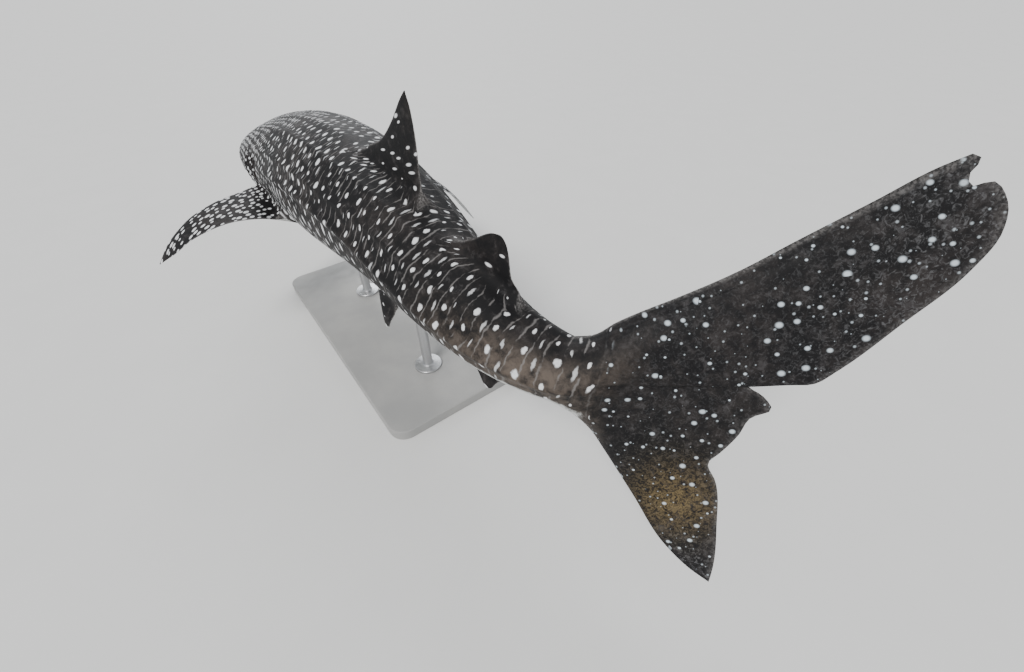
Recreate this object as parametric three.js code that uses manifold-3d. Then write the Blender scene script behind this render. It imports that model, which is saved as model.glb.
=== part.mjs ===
// Whale shark, life size, as a still display model on a plain stand.
// The frame: +X along the swimming direction at mid body, +Y to the animal's left, +Z up.
// The origin is the centre of the underside of the stand's base. Lengths are in millimetres.
// Body sizes are shares of the total length, as fish are measured.

import * as THREE from 'three';
import { mergeVertices } from 'three/addons/utils/BufferGeometryUtils.js';
import Module from 'manifold-3d';

// Driving sizes
const TOTAL_LENGTH = 8000;
const MID_STATION = 0.45;
const MID_POINT = new THREE.Vector3(-450, 0, 1760);
const GAP = 0.3;
const CUT_GROWTH = 0.6;
const RING_POINTS = 28;
const FIN_CHORD_STEPS = 8;

// The backbone's direction: heading to the left, pitch up and bank to the right, in degrees, by station.
const TURN_STATIONS = [0, 0.1, 0.2, 0.3, 0.4, 0.5, 0.6, 0.7, 0.8];
const HEADING = [8.7, 5.2, 0.3, -3.0, -0.5, -1.5, -4.4, 5.4, 34.9];
const PITCH = [2.9, -1.6, -4.8, -5.2, -2.3, 1.9, 4.7, 4.2, 1.4];
const BANK_STATIONS = [0, 0.45, 0.8];
const BANK = [-14.4, -3.4, 20.7];

// The body's section by station: half width, height above and depth below the backbone line.
const SECTION_STATIONS = [0, 0.01, 0.03, 0.06, 0.1, 0.15, 0.2, 0.28, 0.36, 0.44, 0.52, 0.6, 0.68, 0.74,
  0.79, 0.83, 0.86];
const HALF_WIDTH = [0.045, 0.058, 0.07, 0.079, 0.085, 0.088, 0.088, 0.085, 0.08, 0.072, 0.062, 0.051,
  0.041, 0.035, 0.031, 0.02, 0.006];
const TOP_HEIGHT = [0.017, 0.026, 0.035, 0.044, 0.053, 0.062, 0.069, 0.076, 0.078, 0.073, 0.064, 0.054,
  0.042, 0.033, 0.026, 0.022, 0.012];
const BELLY_DEPTH = [0.021, 0.029, 0.037, 0.046, 0.056, 0.066, 0.075, 0.083, 0.083, 0.077, 0.067, 0.055,
  0.041, 0.031, 0.024, 0.02, 0.01];
// The section's squareness: 2 is an ellipse, more is boxier and less is nearer a diamond with side keels.
const SQUARENESS_STATIONS = [0, 0.1, 0.3, 0.6, 0.74];
const SQUARENESS = [2.5, 2.3, 2.0, 1.95, 1.7];

// The body's lengths, each from its first station to the next one's.
const BODY_LENGTHS = [
  ['head', 0.0],
  ['gill_region', 0.12],
  ['trunk_front', 0.2],
  ['trunk_middle', 0.36],
  ['trunk_rear', 0.52],
  ['tail_stalk', 0.7],
];
const BODY_END = 0.86;
const STATION_STEP = 0.02;
const SNOUT_STATIONS = [0.0, 0.004, 0.01, 0.02, 0.03, 0.045];
const SNOUT_CAP = { station: -0.0035, width: 0.86, height: 0.45 };

// Fin edges: share of the way out, then the leading and the trailing edge.
// On a median fin a point is [station, height over the backbone line].
const FIRST_DORSAL = {
  out: [0, 0.2, 0.45, 0.7, 0.9, 1],
  lead: [[0.452, 0.06], [0.466, 0.077], [0.5, 0.094], [0.525, 0.117], [0.541, 0.138], [0.549, 0.1487]],
  trail: [[0.548, 0.05], [0.568, 0.065], [0.566, 0.088], [0.562, 0.116], [0.556, 0.138], [0.552, 0.1475]],
  thickness: [66, 54, 40, 28, 17, 9],
};
const SECOND_DORSAL = {
  out: [0, 0.25, 0.55, 0.8, 1],
  lead: [[0.628, 0.042], [0.64, 0.056], [0.653, 0.065], [0.667, 0.076], [0.677, 0.0815]],
  trail: [[0.692, 0.032], [0.716, 0.042], [0.703, 0.054], [0.695, 0.07], [0.688, 0.0805]],
  thickness: [40, 34, 26, 18, 8],
};
const ANAL = {
  out: [0, 0.25, 0.6, 1],
  lead: [[0.664, -0.034], [0.674, -0.045], [0.69, -0.053], [0.703, -0.0615]],
  trail: [[0.702, -0.03], [0.722, -0.037], [0.717, -0.046], [0.711, -0.06]],
  thickness: [34, 28, 20, 8],
};
// On a pelvic fin a point is [station, distance out, height].
const PELVIC = {
  out: [0, 0.3, 0.7, 1],
  lead: [[0.497, 0.028, -0.048], [0.51, 0.037, -0.062], [0.54, 0.044, -0.074], [0.562, 0.047, -0.081]],
  trail: [[0.54, 0.026, -0.044], [0.566, 0.034, -0.06], [0.571, 0.042, -0.072], [0.573, 0.046, -0.08]],
  thickness: [40, 32, 20, 8],
};
// On a pectoral fin a point is [back, out, up] from the backbone at PECTORAL_STATION.
const PECTORAL_STATION = 0.235;
const PECTORAL = {
  out: [0, 0.12, 0.35, 0.6, 0.8, 0.95, 1],
  lead: [[-0.048, 0.056, -0.014], [-0.045, 0.085, -0.003], [-0.021, 0.12, 0.005], [0.004, 0.162, 0.0105],
    [0.027, 0.2, 0.007], [0.052, 0.235, -0.007], [0.068, 0.245, -0.0125]],
  trail: [[0.05, 0.056, -0.044], [0.046, 0.085, -0.034], [0.06, 0.12, -0.012], [0.071, 0.16, 0.001],
    [0.076, 0.2, 0], [0.079, 0.228, -0.008], [0.077, 0.243, -0.0122]],
  thickness: [96, 84, 62, 46, 32, 18, 8],
};
const PECTORAL_PIVOT = { out: 0.07, up: -0.02 };
const RIGHT_PECTORAL_DROOP = 50;
// On the caudal fin a point is [back, up] from the backbone at CAUDAL_STATION, in the tail's own plane.
const CAUDAL_STATION = 0.8;
const CAUDAL_UPPER = {
  out: [0, 0.07, 0.13, 0.19, 0.25, 0.32, 0.45, 0.6, 0.75, 0.87, 0.93, 0.96, 1],
  lead: [[-0.03, -0.002], [-0.026, 0.022], [-0.013, 0.036], [0.003, 0.05], [0.014, 0.058], [0.03, 0.069],
    [0.06, 0.092], [0.09, 0.12], [0.117, 0.144], [0.138, 0.163], [0.148, 0.172], [0.154, 0.178],
    [0.162, 0.1835]],
  trail: [[0.101, -0.024], [0.11, -0.006], [0.12, 0.009], [0.103, 0.022], [0.124, 0.031], [0.141, 0.037],
    [0.155, 0.059], [0.171, 0.087], [0.187, 0.116], [0.195, 0.146], [0.188, 0.166], [0.173, 0.17],
    [0.169, 0.183]],
  thickness: [60, 56, 52, 48, 45, 42, 36, 29, 22, 16, 12, 10, 8],
};
const CAUDAL_LOWER = {
  out: [0, 0.12, 0.25, 0.45, 0.65, 0.85, 1],
  lead: [[-0.03, -0.0022], [-0.026, -0.024], [-0.005, -0.04], [0.027, -0.073], [0.06, -0.11],
    [0.096, -0.144], [0.12, -0.16]],
  trail: [[0.101, -0.0242], [0.096, -0.046], [0.103, -0.06], [0.112, -0.086], [0.12, -0.118],
    [0.126, -0.146], [0.128, -0.161]],
  thickness: [58, 50, 42, 33, 24, 15, 8],
};

// Eyes
const EYE_RADIUS = 42;
const EYE_STATION = 0.052;
const EYE_ANGLE = -6;
const EYE_SINK = 20;
const EYE_SIDES = 16;
const EYE_BANDS = 12;

// Stand
const BASE = { length: 3400, width: 1500, height: 120, corner: 160, bevel: 12 };
const ROD_STATIONS = { front: 0.3, rear: 0.52 };
const ROD = {
  radius: 52,
  flangeRadius: 150,
  flangeHeight: 28,
  flareHeight: 17,
  cupRadius: 92,
  cupHeight: 190,
  taper: 90,
  sides: 28,
};

// A smooth curve through knots. The slope at a knot is the mean of its neighbours' slopes, by distance.
function smooth(knots, values, x) {
  const last = knots.length - 1;
  const clamped = Math.min(Math.max(x, knots[0]), knots[last]);
  let i = 0;
  while (i < last - 1 && clamped > knots[i + 1]) {
    i += 1;
  }
  const secant = (k) => (values[k + 1] - values[k]) / (knots[k + 1] - knots[k]);
  const slope = (k) => {
    if (k === 0) {
      return secant(0);
    }
    if (k === last) {
      return secant(last - 1);
    }
    const before = knots[k] - knots[k - 1];
    const after = knots[k + 1] - knots[k];
    return (secant(k - 1) * after + secant(k) * before) / (before + after);
  };
  const span = knots[i + 1] - knots[i];
  const t = (clamped - knots[i]) / span;
  const h = t * t * (3 - 2 * t);
  const rise = t * (1 - t) * (1 - t) * span * slope(i) - t * t * (1 - t) * span * slope(i + 1);
  return values[i] * (1 - h) + values[i + 1] * h + rise;
}

// Straight lines between knots, level beyond the ends
function straight(knots, values, x) {
  let i = 0;
  while (i < knots.length - 2 && x > knots[i + 1]) {
    i += 1;
  }
  const t = Math.min(Math.max((x - knots[i]) / (knots[i + 1] - knots[i]), 0), 1);
  return values[i] * (1 - t) + values[i + 1] * t;
}

// The directions at a station: forward, to the left and up, with the bank turned in.
function directions(station) {
  const heading = THREE.MathUtils.degToRad(smooth(TURN_STATIONS, HEADING, station));
  const pitch = THREE.MathUtils.degToRad(smooth(TURN_STATIONS, PITCH, station));
  const bank = THREE.MathUtils.degToRad(straight(BANK_STATIONS, BANK, station));
  const forward = new THREE.Vector3(
    Math.cos(heading) * Math.cos(pitch),
    Math.sin(heading) * Math.cos(pitch),
    Math.sin(pitch),
  );
  const level = new THREE.Vector3(-Math.sin(heading), Math.cos(heading), 0);
  const upright = new THREE.Vector3().crossVectors(forward, level);
  const left = level.clone().multiplyScalar(Math.cos(bank)).addScaledVector(upright, Math.sin(bank));
  const up = upright.clone().multiplyScalar(Math.cos(bank)).addScaledVector(level, -Math.sin(bank));
  return { forward, left, up };
}

// The backbone line, stepped backwards from the snout and then moved so that its middle is in place.
const SPINE_STEP = 0.005;
const SPINE_COUNT = Math.round(BODY_END / SPINE_STEP) + 2;
const spine = [new THREE.Vector3()];
for (let i = 1; i < SPINE_COUNT; i += 1) {
  const forward = directions((i - 0.5) * SPINE_STEP).forward;
  spine.push(spine[i - 1].clone().addScaledVector(forward, -SPINE_STEP * TOTAL_LENGTH));
}
const shift = MID_POINT.clone().sub(spine[Math.round(MID_STATION / SPINE_STEP)]);
spine.forEach((point) => point.add(shift));

function spinePoint(station) {
  if (station < 0) {
    return spine[0].clone().addScaledVector(directions(0).forward, -station * TOTAL_LENGTH);
  }
  const steps = station / SPINE_STEP;
  const i = Math.min(Math.floor(steps), SPINE_COUNT - 2);
  return spine[i].clone().lerp(spine[i + 1], steps - i);
}

// A point given by station, then out to the left, up and back, in shares of the total length.
function place(station, out, up, back = 0) {
  const d = directions(station);
  return spinePoint(station)
    .addScaledVector(d.left, out * TOTAL_LENGTH)
    .addScaledVector(d.up, up * TOTAL_LENGTH)
    .addScaledVector(d.forward, -back * TOTAL_LENGTH);
}

// A point of the skin at a station and an angle: 0 is the left flank and 90 degrees the back.
function skin(station, angle, growth = 0) {
  const power = 2 / straight(SQUARENESS_STATIONS, SQUARENESS, station);
  const c = Math.cos(angle);
  const s = Math.sin(angle);
  const grow = growth / TOTAL_LENGTH;
  const width = smooth(SECTION_STATIONS, HALF_WIDTH, station) + grow;
  const height = smooth(SECTION_STATIONS, s > 0 ? TOP_HEIGHT : BELLY_DEPTH, station) + grow;
  return place(
    station,
    Math.sign(c) * Math.abs(c) ** power * width,
    Math.sign(s) * Math.abs(s) ** power * height,
  );
}

function bodyRing(station, growth = 0) {
  const ring = [];
  for (let j = 0; j < RING_POINTS; j += 1) {
    ring.push(skin(station, (2 * Math.PI * j) / RING_POINTS, growth));
  }
  return ring;
}

// A closed solid through rings of equal length. Each end is closed by zipping its ring across.
function loft(rings) {
  const n = rings[0].length;
  const vertices = rings.flat();
  const faces = [];
  for (let i = 0; i < rings.length - 1; i += 1) {
    for (let j = 0; j < n; j += 1) {
      const k = (j + 1) % n;
      faces.push([i * n + j, i * n + k, (i + 1) * n + k], [i * n + j, (i + 1) * n + k, (i + 1) * n + j]);
    }
  }
  const close = (start, turned) => {
    for (let j = 0; j < n / 2; j += 1) {
      const quad = [j, j + 1, n - j - 1, (n - j) % n].map((k) => start + k);
      const halves = [[quad[0], quad[1], quad[2]], [quad[0], quad[2], quad[3]]];
      for (const [a, b, c] of halves) {
        if (a !== b && b !== c && a !== c) {
          faces.push(turned ? [a, b, c] : [c, b, a]);
        }
      }
    }
  };
  close(0, false);
  close((rings.length - 1) * n, true);
  const volume = faces.reduce((sum, [a, b, c]) => sum + vertices[a].dot(
    new THREE.Vector3().crossVectors(vertices[b], vertices[c]),
  ), 0);
  const ordered = volume > 0 ? faces : faces.map(([a, b, c]) => [c, b, a]);
  const geometry = new THREE.BufferGeometry();
  const positions = vertices.flatMap((v) => [v.x, v.y, v.z]);
  geometry.setAttribute('position', new THREE.Float32BufferAttribute(positions, 3));
  geometry.setIndex(ordered.flat());
  return geometry;
}

// The half thickness along a fin's chord as a share of its largest: blunt in front, thin behind.
function finProfile(x) {
  return 10 * (0.2969 * Math.sqrt(x) - 0.126 * x - 0.3516 * x ** 2 + 0.2843 * x ** 3 - 0.1036 * x ** 4);
}

// A fin from its edges: locate turns an edge point into a place, and each ring wraps one chord.
function fin(edges, locate, growth = 0, steps = 2) {
  const edgePoint = (edge, v) => locate(edge[0].map((_, axis) => smooth(
    edges.out,
    edge.map((point) => point[axis]),
    v,
  )));
  const middle = (v) => edgePoint(edges.lead, v).add(edgePoint(edges.trail, v)).multiplyScalar(0.5);
  const outs = edges.out.flatMap((v, i) => {
    const next = edges.out[i + 1];
    return next === undefined ? [v] : Array.from({ length: steps }, (_, k) => v + ((next - v) * k) / steps);
  });
  const rings = outs.map((v) => {
    const lead = edgePoint(edges.lead, v);
    const trail = edgePoint(edges.trail, v);
    const chord = trail.clone().sub(lead);
    const span = middle(Math.min(v + 0.02, 1)).sub(middle(Math.max(v - 0.02, 0)));
    const normal = chord.clone().cross(span).normalize();
    const half = smooth(edges.out, edges.thickness, v) / 2 + growth;
    const side = [];
    for (let k = 0; k <= FIN_CHORD_STEPS; k += 1) {
      const x = (1 - Math.cos((Math.PI * k) / FIN_CHORD_STEPS)) / 2;
      side.push([lead.clone().addScaledVector(chord, x), half * finProfile(x)]);
    }
    const near = side.map(([point, h]) => point.clone().addScaledVector(normal, h));
    const far = side.slice(1, -1).reverse().map(([point, h]) => point.clone().addScaledVector(normal, -h));
    return [...near, ...far];
  });
  return loft(rings);
}

// Joining and cutting of closed solids
const wasm = await Module();
wasm.setup();

function solid(geometry) {
  const bare = geometry.clone();
  bare.deleteAttribute('normal');
  bare.deleteAttribute('uv');
  const merged = mergeVertices(bare, 0.0001);
  return new wasm.Manifold(new wasm.Mesh({
    numProp: 3,
    vertProperties: new Float32Array(merged.attributes.position.array),
    triVerts: new Uint32Array(merged.index.array),
  }));
}

function fromSolid(body) {
  const mesh = body.getMesh();
  const geometry = new THREE.BufferGeometry();
  geometry.setAttribute('position', new THREE.BufferAttribute(new Float32Array(mesh.vertProperties), 3));
  geometry.setIndex(new THREE.BufferAttribute(new Uint32Array(mesh.triVerts), 1));
  return geometry;
}

// The largest connected piece, so that a cut leaves no loose slivers.
function largest(body) {
  return body.decompose().reduce((best, piece) => (piece.volume() > best.volume() ? piece : best));
}

const group = new THREE.Group();

function addMesh(name, geometry, material) {
  geometry.computeVertexNormals();
  const mesh = new THREE.Mesh(geometry, new THREE.MeshStandardMaterial(material));
  mesh.name = name;
  group.add(mesh);
}

const SKIN_LOOK = { color: 0x2b2a2d, roughness: 0.55, metalness: 0 };
const EYE_LOOK = { color: 0x0c0d10, roughness: 0.08, metalness: 0 };
const BASE_LOOK = { color: 0xb9b7b1, roughness: 0.6, metalness: 0 };
const ROD_LOOK = { color: 0xa2a4a8, roughness: 0.35, metalness: 1 };

// Body stations, with every length's ends among them
function stationsBetween(first, last) {
  const inner = [];
  const count = Math.max(Math.round((last - first) / STATION_STEP), 1);
  for (let i = 0; i <= count; i += 1) {
    inner.push(first + ((last - first) * i) / count);
  }
  const snout = SNOUT_STATIONS.filter((s) => s > first && s < last);
  const all = [...inner.filter((s) => s > 0.05 || s === first), ...snout];
  return all.sort((a, b) => a - b);
}

// The snout's last ring, drawn in so that the blunt front is rounded.
function snoutRing(growth = 0) {
  const front = spinePoint(SNOUT_CAP.station);
  const d = directions(0);
  return bodyRing(0, growth).map((point) => {
    const offset = point.clone().sub(spinePoint(0));
    return front.clone()
      .addScaledVector(d.left, offset.dot(d.left) * SNOUT_CAP.width)
      .addScaledVector(d.up, offset.dot(d.up) * SNOUT_CAP.height)
      .addScaledVector(d.forward, growth);
  });
}

// Eyes, sunk in the sides of the head
function eyeCentre(side) {
  const angle = THREE.MathUtils.degToRad(side > 0 ? EYE_ANGLE : 180 - EYE_ANGLE);
  const surface = skin(EYE_STATION, angle);
  return surface.addScaledVector(directions(EYE_STATION).left, -side * EYE_SINK);
}

function eyeball(side, growth) {
  const centre = eyeCentre(side);
  const sphere = new THREE.SphereGeometry(EYE_RADIUS + growth, EYE_SIDES, EYE_BANDS);
  sphere.translate(centre.x, centre.y, centre.z);
  return sphere;
}

// Body lengths, with the eye sockets cut out of the head
const HALF_GAP = GAP / 2 / TOTAL_LENGTH;
const wholeRings = [snoutRing(CUT_GROWTH)];
BODY_LENGTHS.forEach(([name, first], i) => {
  const last = i + 1 < BODY_LENGTHS.length ? BODY_LENGTHS[i + 1][1] : BODY_END;
  const stations = stationsBetween(first, last);
  const rings = stations.map((station, k) => {
    const isFirst = k === 0 && first > 0;
    const isLast = k === stations.length - 1 && last < BODY_END;
    return bodyRing(station + (isFirst ? HALF_GAP : 0) - (isLast ? HALF_GAP : 0));
  });
  stations.slice(i === 0 ? 0 : 1).forEach((station) => wholeRings.push(bodyRing(station, CUT_GROWTH)));
  if (name === 'head') {
    const sockets = solid(eyeball(1, GAP)).add(solid(eyeball(-1, GAP)));
    addMesh(name, fromSolid(solid(loft([snoutRing(), ...rings])).subtract(sockets)), SKIN_LOOK);
  } else {
    addMesh(name, loft(rings), SKIN_LOOK);
  }
});
wholeRings.push(bodyRing(BODY_END + 2 * HALF_GAP, CUT_GROWTH));
const bodyCut = solid(loft(wholeRings));

[['eye_left', 1], ['eye_right', -1]].forEach(([name, side]) => addMesh(name, eyeball(side, 0), EYE_LOOK));

// Fins, each cut back to the body's surface
function addFin(name, edges, locate, steps = 2) {
  addMesh(name, fromSolid(largest(solid(fin(edges, locate, 0, steps)).subtract(bodyCut))), SKIN_LOOK);
}

const onMedian = ([station, up]) => place(station, 0, up);
addFin('first_dorsal_fin', FIRST_DORSAL, onMedian);
addFin('second_dorsal_fin', SECOND_DORSAL, onMedian);
addFin('anal_fin', ANAL, onMedian);

// A pectoral point, with the fin turned down about the line of its root.
function pectoralPlace(side, droop) {
  const angle = THREE.MathUtils.degToRad(droop);
  return ([back, out, up]) => {
    const reach = out - PECTORAL_PIVOT.out;
    const lift = up - PECTORAL_PIVOT.up;
    const turn = reach > 0 ? angle : 0;
    const outTurned = PECTORAL_PIVOT.out + reach * Math.cos(turn) + lift * Math.sin(turn);
    const upTurned = PECTORAL_PIVOT.up + lift * Math.cos(turn) - reach * Math.sin(turn);
    return place(PECTORAL_STATION, side * outTurned, upTurned, back);
  };
}
addFin('pectoral_fin_left', PECTORAL, pectoralPlace(1, 0));
addFin('pectoral_fin_right', PECTORAL, pectoralPlace(-1, RIGHT_PECTORAL_DROOP));
addFin('pelvic_fin_left', PELVIC, ([station, out, up]) => place(station, out, up));
addFin('pelvic_fin_right', PELVIC, ([station, out, up]) => place(station, -out, up));

const inTailPlane = ([back, up]) => place(CAUDAL_STATION, 0, up, back);
addFin('caudal_upper_lobe', CAUDAL_UPPER, inTailPlane, 1);
addFin('caudal_lower_lobe', CAUDAL_LOWER, inTailPlane, 2);

// Stand base: a flat plate with round corners, its underside centred on the origin
function basePlate() {
  const halfLength = BASE.length / 2 - BASE.bevel;
  const halfWidth = BASE.width / 2 - BASE.bevel;
  const r = BASE.corner;
  const shape = new THREE.Shape();
  shape.moveTo(-halfLength + r, -halfWidth);
  shape.lineTo(halfLength - r, -halfWidth);
  shape.absarc(halfLength - r, -halfWidth + r, r, -Math.PI / 2, 0, false);
  shape.lineTo(halfLength, halfWidth - r);
  shape.absarc(halfLength - r, halfWidth - r, r, 0, Math.PI / 2, false);
  shape.lineTo(-halfLength + r, halfWidth);
  shape.absarc(-halfLength + r, halfWidth - r, r, Math.PI / 2, Math.PI, false);
  shape.lineTo(-halfLength, -halfWidth + r);
  shape.absarc(-halfLength + r, -halfWidth + r, r, Math.PI, 1.5 * Math.PI, false);
  const plate = new THREE.ExtrudeGeometry(shape, {
    depth: BASE.height - 2 * BASE.bevel,
    bevelEnabled: true,
    bevelThickness: BASE.bevel,
    bevelSize: BASE.bevel,
    bevelSegments: 2,
    curveSegments: 8,
  });
  plate.translate(0, 0, BASE.bevel);
  return fromSolid(solid(plate));
}
addMesh('stand_base', basePlate(), BASE_LOOK);

// Stand rods: a foot flange, a round post and a wider cup that follows the belly
function rod(station) {
  const foot = BASE.height + GAP;
  const centre = spinePoint(station);
  const belly = skin(station, -Math.PI / 2);
  const profile = [
    [0, foot],
    [ROD.flangeRadius, foot],
    [ROD.flangeRadius, foot + ROD.flangeHeight],
    [ROD.radius, foot + ROD.flangeHeight + ROD.flareHeight],
    [ROD.radius, belly.z - ROD.cupHeight / 2 - ROD.taper],
    [ROD.cupRadius, belly.z - ROD.cupHeight / 2],
    [ROD.cupRadius, belly.z + ROD.cupHeight / 2],
    [0, belly.z + ROD.cupHeight / 2],
  ].map(([radius, height]) => new THREE.Vector2(radius, height));
  const post = new THREE.LatheGeometry(profile, ROD.sides);
  post.rotateX(Math.PI / 2);
  post.translate(centre.x, centre.y, 0);
  return fromSolid(largest(solid(post).subtract(bodyCut)));
}
addMesh('stand_rod_front', rod(ROD_STATIONS.front), ROD_LOOK);
addMesh('stand_rod_rear', rod(ROD_STATIONS.rear), ROD_LOOK);

export default group;
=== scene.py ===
import math
from functools import partial, reduce

import bmesh
import bpy
import numpy as np
from mathutils import Matrix, Vector


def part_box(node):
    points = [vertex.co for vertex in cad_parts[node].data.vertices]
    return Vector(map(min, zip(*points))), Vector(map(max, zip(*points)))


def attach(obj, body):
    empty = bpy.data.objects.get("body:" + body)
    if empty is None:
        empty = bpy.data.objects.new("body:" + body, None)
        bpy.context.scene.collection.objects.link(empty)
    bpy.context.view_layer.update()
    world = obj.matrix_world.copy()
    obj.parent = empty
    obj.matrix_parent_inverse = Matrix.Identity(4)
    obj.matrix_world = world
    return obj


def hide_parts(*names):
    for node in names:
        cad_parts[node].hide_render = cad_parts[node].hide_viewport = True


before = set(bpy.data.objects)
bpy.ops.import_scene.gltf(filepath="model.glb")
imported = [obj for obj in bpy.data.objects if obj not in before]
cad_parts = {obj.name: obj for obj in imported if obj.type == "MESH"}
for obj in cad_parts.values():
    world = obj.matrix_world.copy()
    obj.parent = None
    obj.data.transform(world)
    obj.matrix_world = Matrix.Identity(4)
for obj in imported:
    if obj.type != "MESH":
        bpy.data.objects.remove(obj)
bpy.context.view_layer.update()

# Camera: the photo looks at the shark from behind, above and a little to its left, through a wide lens.
# The place and the turn are the ones that lay the shark's outlines on the photo's.
MID_POINT = np.array([-0.45, 0.0, 1.76])
CAMERA_FROM_MID = np.array([-3.852, 1.342, 1.838])
CAMERA_YAW, CAMERA_DOWN, CAMERA_ROLL = -37.41, 41.73, -0.20
SENSOR_WIDTH, LENS_OVER_WIDTH = 36.0, 431.07 / 1024
NEAREST, FARTHEST = 0.05, 200.0


def add_object(name, data):
    """A new object at the origin that holds the data."""
    made = bpy.data.objects.new(name, data)
    bpy.context.scene.collection.objects.link(made)
    return made


def aimed_camera(stand_point, yaw, down, roll):
    """Camera whose view axis is (cos yaw cos down, sin yaw cos down, -sin down), rolled about that axis."""
    y, p, r = np.radians([yaw, down, roll])
    axis = Vector((math.cos(y) * math.cos(p), math.sin(y) * math.cos(p), -math.sin(p)))
    right = Vector((math.sin(y), -math.cos(y), 0.0))
    up = right.cross(axis)
    turned_right = right * math.cos(r) + up * math.sin(r)
    turned_up = up * math.cos(r) - right * math.sin(r)
    data = bpy.data.cameras.new("camera")
    data.sensor_width, data.lens = SENSOR_WIDTH, SENSOR_WIDTH * LENS_OVER_WIDTH
    data.clip_start, data.clip_end = NEAREST, FARTHEST
    camera = add_object("camera", data)
    turn = Matrix((turned_right, turned_up, -axis)).transposed().to_4x4()
    camera.matrix_world = Matrix.Translation(Vector(stand_point)) @ turn
    return camera


bpy.context.scene.camera = aimed_camera(MID_POINT + CAMERA_FROM_MID, CAMERA_YAW, CAMERA_DOWN, CAMERA_ROLL)

# Floor and light: a plain pale floor out to the horizon, a broad soft key light from the left and
# behind, a weaker one from the front, and a pale surround.
FLOOR_HALF = 300.0
FLOOR_COLOUR, FLOOR_SHADE = (0.74, 0.74, 0.73), 0.94
SURROUND_COLOUR, SURROUND_STRENGTH = (0.86, 0.88, 0.91, 1.0), 0.75
# Each light: the way it shines, its angular size in degrees, its strength and its colour
LIGHTS = {
    "key": ((0.40, -0.75, -1.0), 20.0, 2.7, (1.0, 0.985, 0.96)),
    "front": ((-0.90, 0.35, -0.55), 35.0, 1.1, (0.96, 0.98, 1.0)),
}


def node(tree, kind, inputs, **settings):
    """One node of a tree, with its settings and with its inputs set to values or linked to sockets."""
    made = tree.nodes.new(kind)
    for key, value in settings.items():
        setattr(made, key, value)
    for key, value in inputs.items():
        socket = made.inputs[key]
        if isinstance(value, bpy.types.NodeSocket):
            tree.links.new(value, socket)
        else:
            socket.default_value = (*value, 1.0) if socket.type == "RGBA" else value
    return made


def mixed(tree, factor, first, second):
    """First colour where the factor is 0 and second where it is 1."""
    return node(tree, "ShaderNodeMix", {0: factor, 6: first, 7: second}, data_type="RGBA").outputs[2]


def noise(tree, vector, scale, detail=3.0, roughness=0.55, distortion=0.0, output="Fac"):
    """Noise from 0 to 1 at so many waves to the unit of the vector."""
    inputs = {"Vector": vector, "Scale": scale, "Detail": detail, "Roughness": roughness,
              "Distortion": distortion}
    return node(tree, "ShaderNodeTexNoise", inputs).outputs[output]


def new_material(name):
    """An empty node material, its tree and the place on the piece in metres."""
    material = bpy.data.materials.new(name)
    material.use_nodes = True
    tree = material.node_tree
    tree.nodes.clear()
    return material, tree, node(tree, "ShaderNodeTexCoord", {}).outputs["Object"]


def shade(tree, inputs):
    """Ends a tree with a Principled shader that has these inputs."""
    shader = node(tree, "ShaderNodeBsdfPrincipled", inputs)
    node(tree, "ShaderNodeOutputMaterial", {"Surface": shader.outputs[0]})


def studio_floor():
    """A large flat square at height 0."""
    corners = [(x * FLOOR_HALF, y * FLOOR_HALF, 0) for x, y in ((-1, -1), (1, -1), (1, 1), (-1, 1))]
    mesh = bpy.data.meshes.new("floor")
    mesh.from_pydata(corners, [], [(0, 1, 2, 3)])
    material, tree, place_on = new_material("floor_paint")
    darker = tuple(c * FLOOR_SHADE for c in FLOOR_COLOUR)
    colour = mixed(tree, noise(tree, place_on, 1.5, 4.0), FLOOR_COLOUR, darker)
    shade(tree, {"Base Color": colour, "Roughness": 0.75})
    mesh.materials.append(material)
    floor = add_object("floor", mesh)


def far_light(name, way, angle, strength, colour):
    """A far-off light of a given angular size, shining one way."""
    data = bpy.data.lights.new(name, "SUN")
    data.angle, data.energy, data.color = math.radians(angle), strength, colour
    add_object(name, data).rotation_euler = Vector(way).to_track_quat("-Z", "Y").to_euler()


studio_floor()
for light_name, light_values in LIGHTS.items():
    far_light(light_name, *light_values)
world = bpy.data.worlds.new("surround")
bpy.context.scene.world = world
world.use_nodes = True
world.node_tree.nodes["Background"].inputs["Color"].default_value = SURROUND_COLOUR
world.node_tree.nodes["Background"].inputs["Strength"].default_value = SURROUND_STRENGTH

# Backbone: the curve that the whole shark is built on. Its heading swings the tail to the right, its
# pitch bows it gently and its bank leans the tail. Sizes are shares of the total length, and a station
# is the share of it from the snout back.
TOTAL_LENGTH = 8.0
MID_STATION, CAUDAL_STATION = 0.45, 0.8
TURN_STATIONS = [0, 0.1, 0.2, 0.3, 0.4, 0.5, 0.6, 0.7, 0.8]
HEADING = [8.7, 5.2, 0.3, -3.0, -0.5, -1.5, -4.4, 5.4, 34.9]
PITCH = [2.9, -1.6, -4.8, -5.2, -2.3, 1.9, 4.7, 4.2, 1.4]
BANK_STATIONS, BANK = [0, 0.45, 0.8], [-14.4, -3.4, 20.7]
SPINE_STEP, SPINE_COUNT = 0.001, 881


def smooth(knots, values, x):
    """A cubic through knots, whose slope at a knot is its neighbours' slopes weighted by distance."""
    k, v = np.asarray(knots, float), np.asarray(values, float)
    x = np.clip(np.asarray(x, float), k[0], k[-1])
    step = np.diff(k)
    secant = np.diff(v) / step
    inner = (secant[:-1] * step[1:] + secant[1:] * step[:-1]) / (step[:-1] + step[1:])
    slope = np.concatenate([secant[:1], inner, secant[-1:]])
    i = np.clip(np.searchsorted(k, x, side="right") - 1, 0, len(k) - 2)
    t = (x - k[i]) / step[i]
    h = t * t * (3 - 2 * t)
    rise = step[i] * t * (1 - t) * ((1 - t) * slope[i] - t * slope[i + 1])
    return v[i] * (1 - h) + v[i + 1] * h + rise


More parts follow.
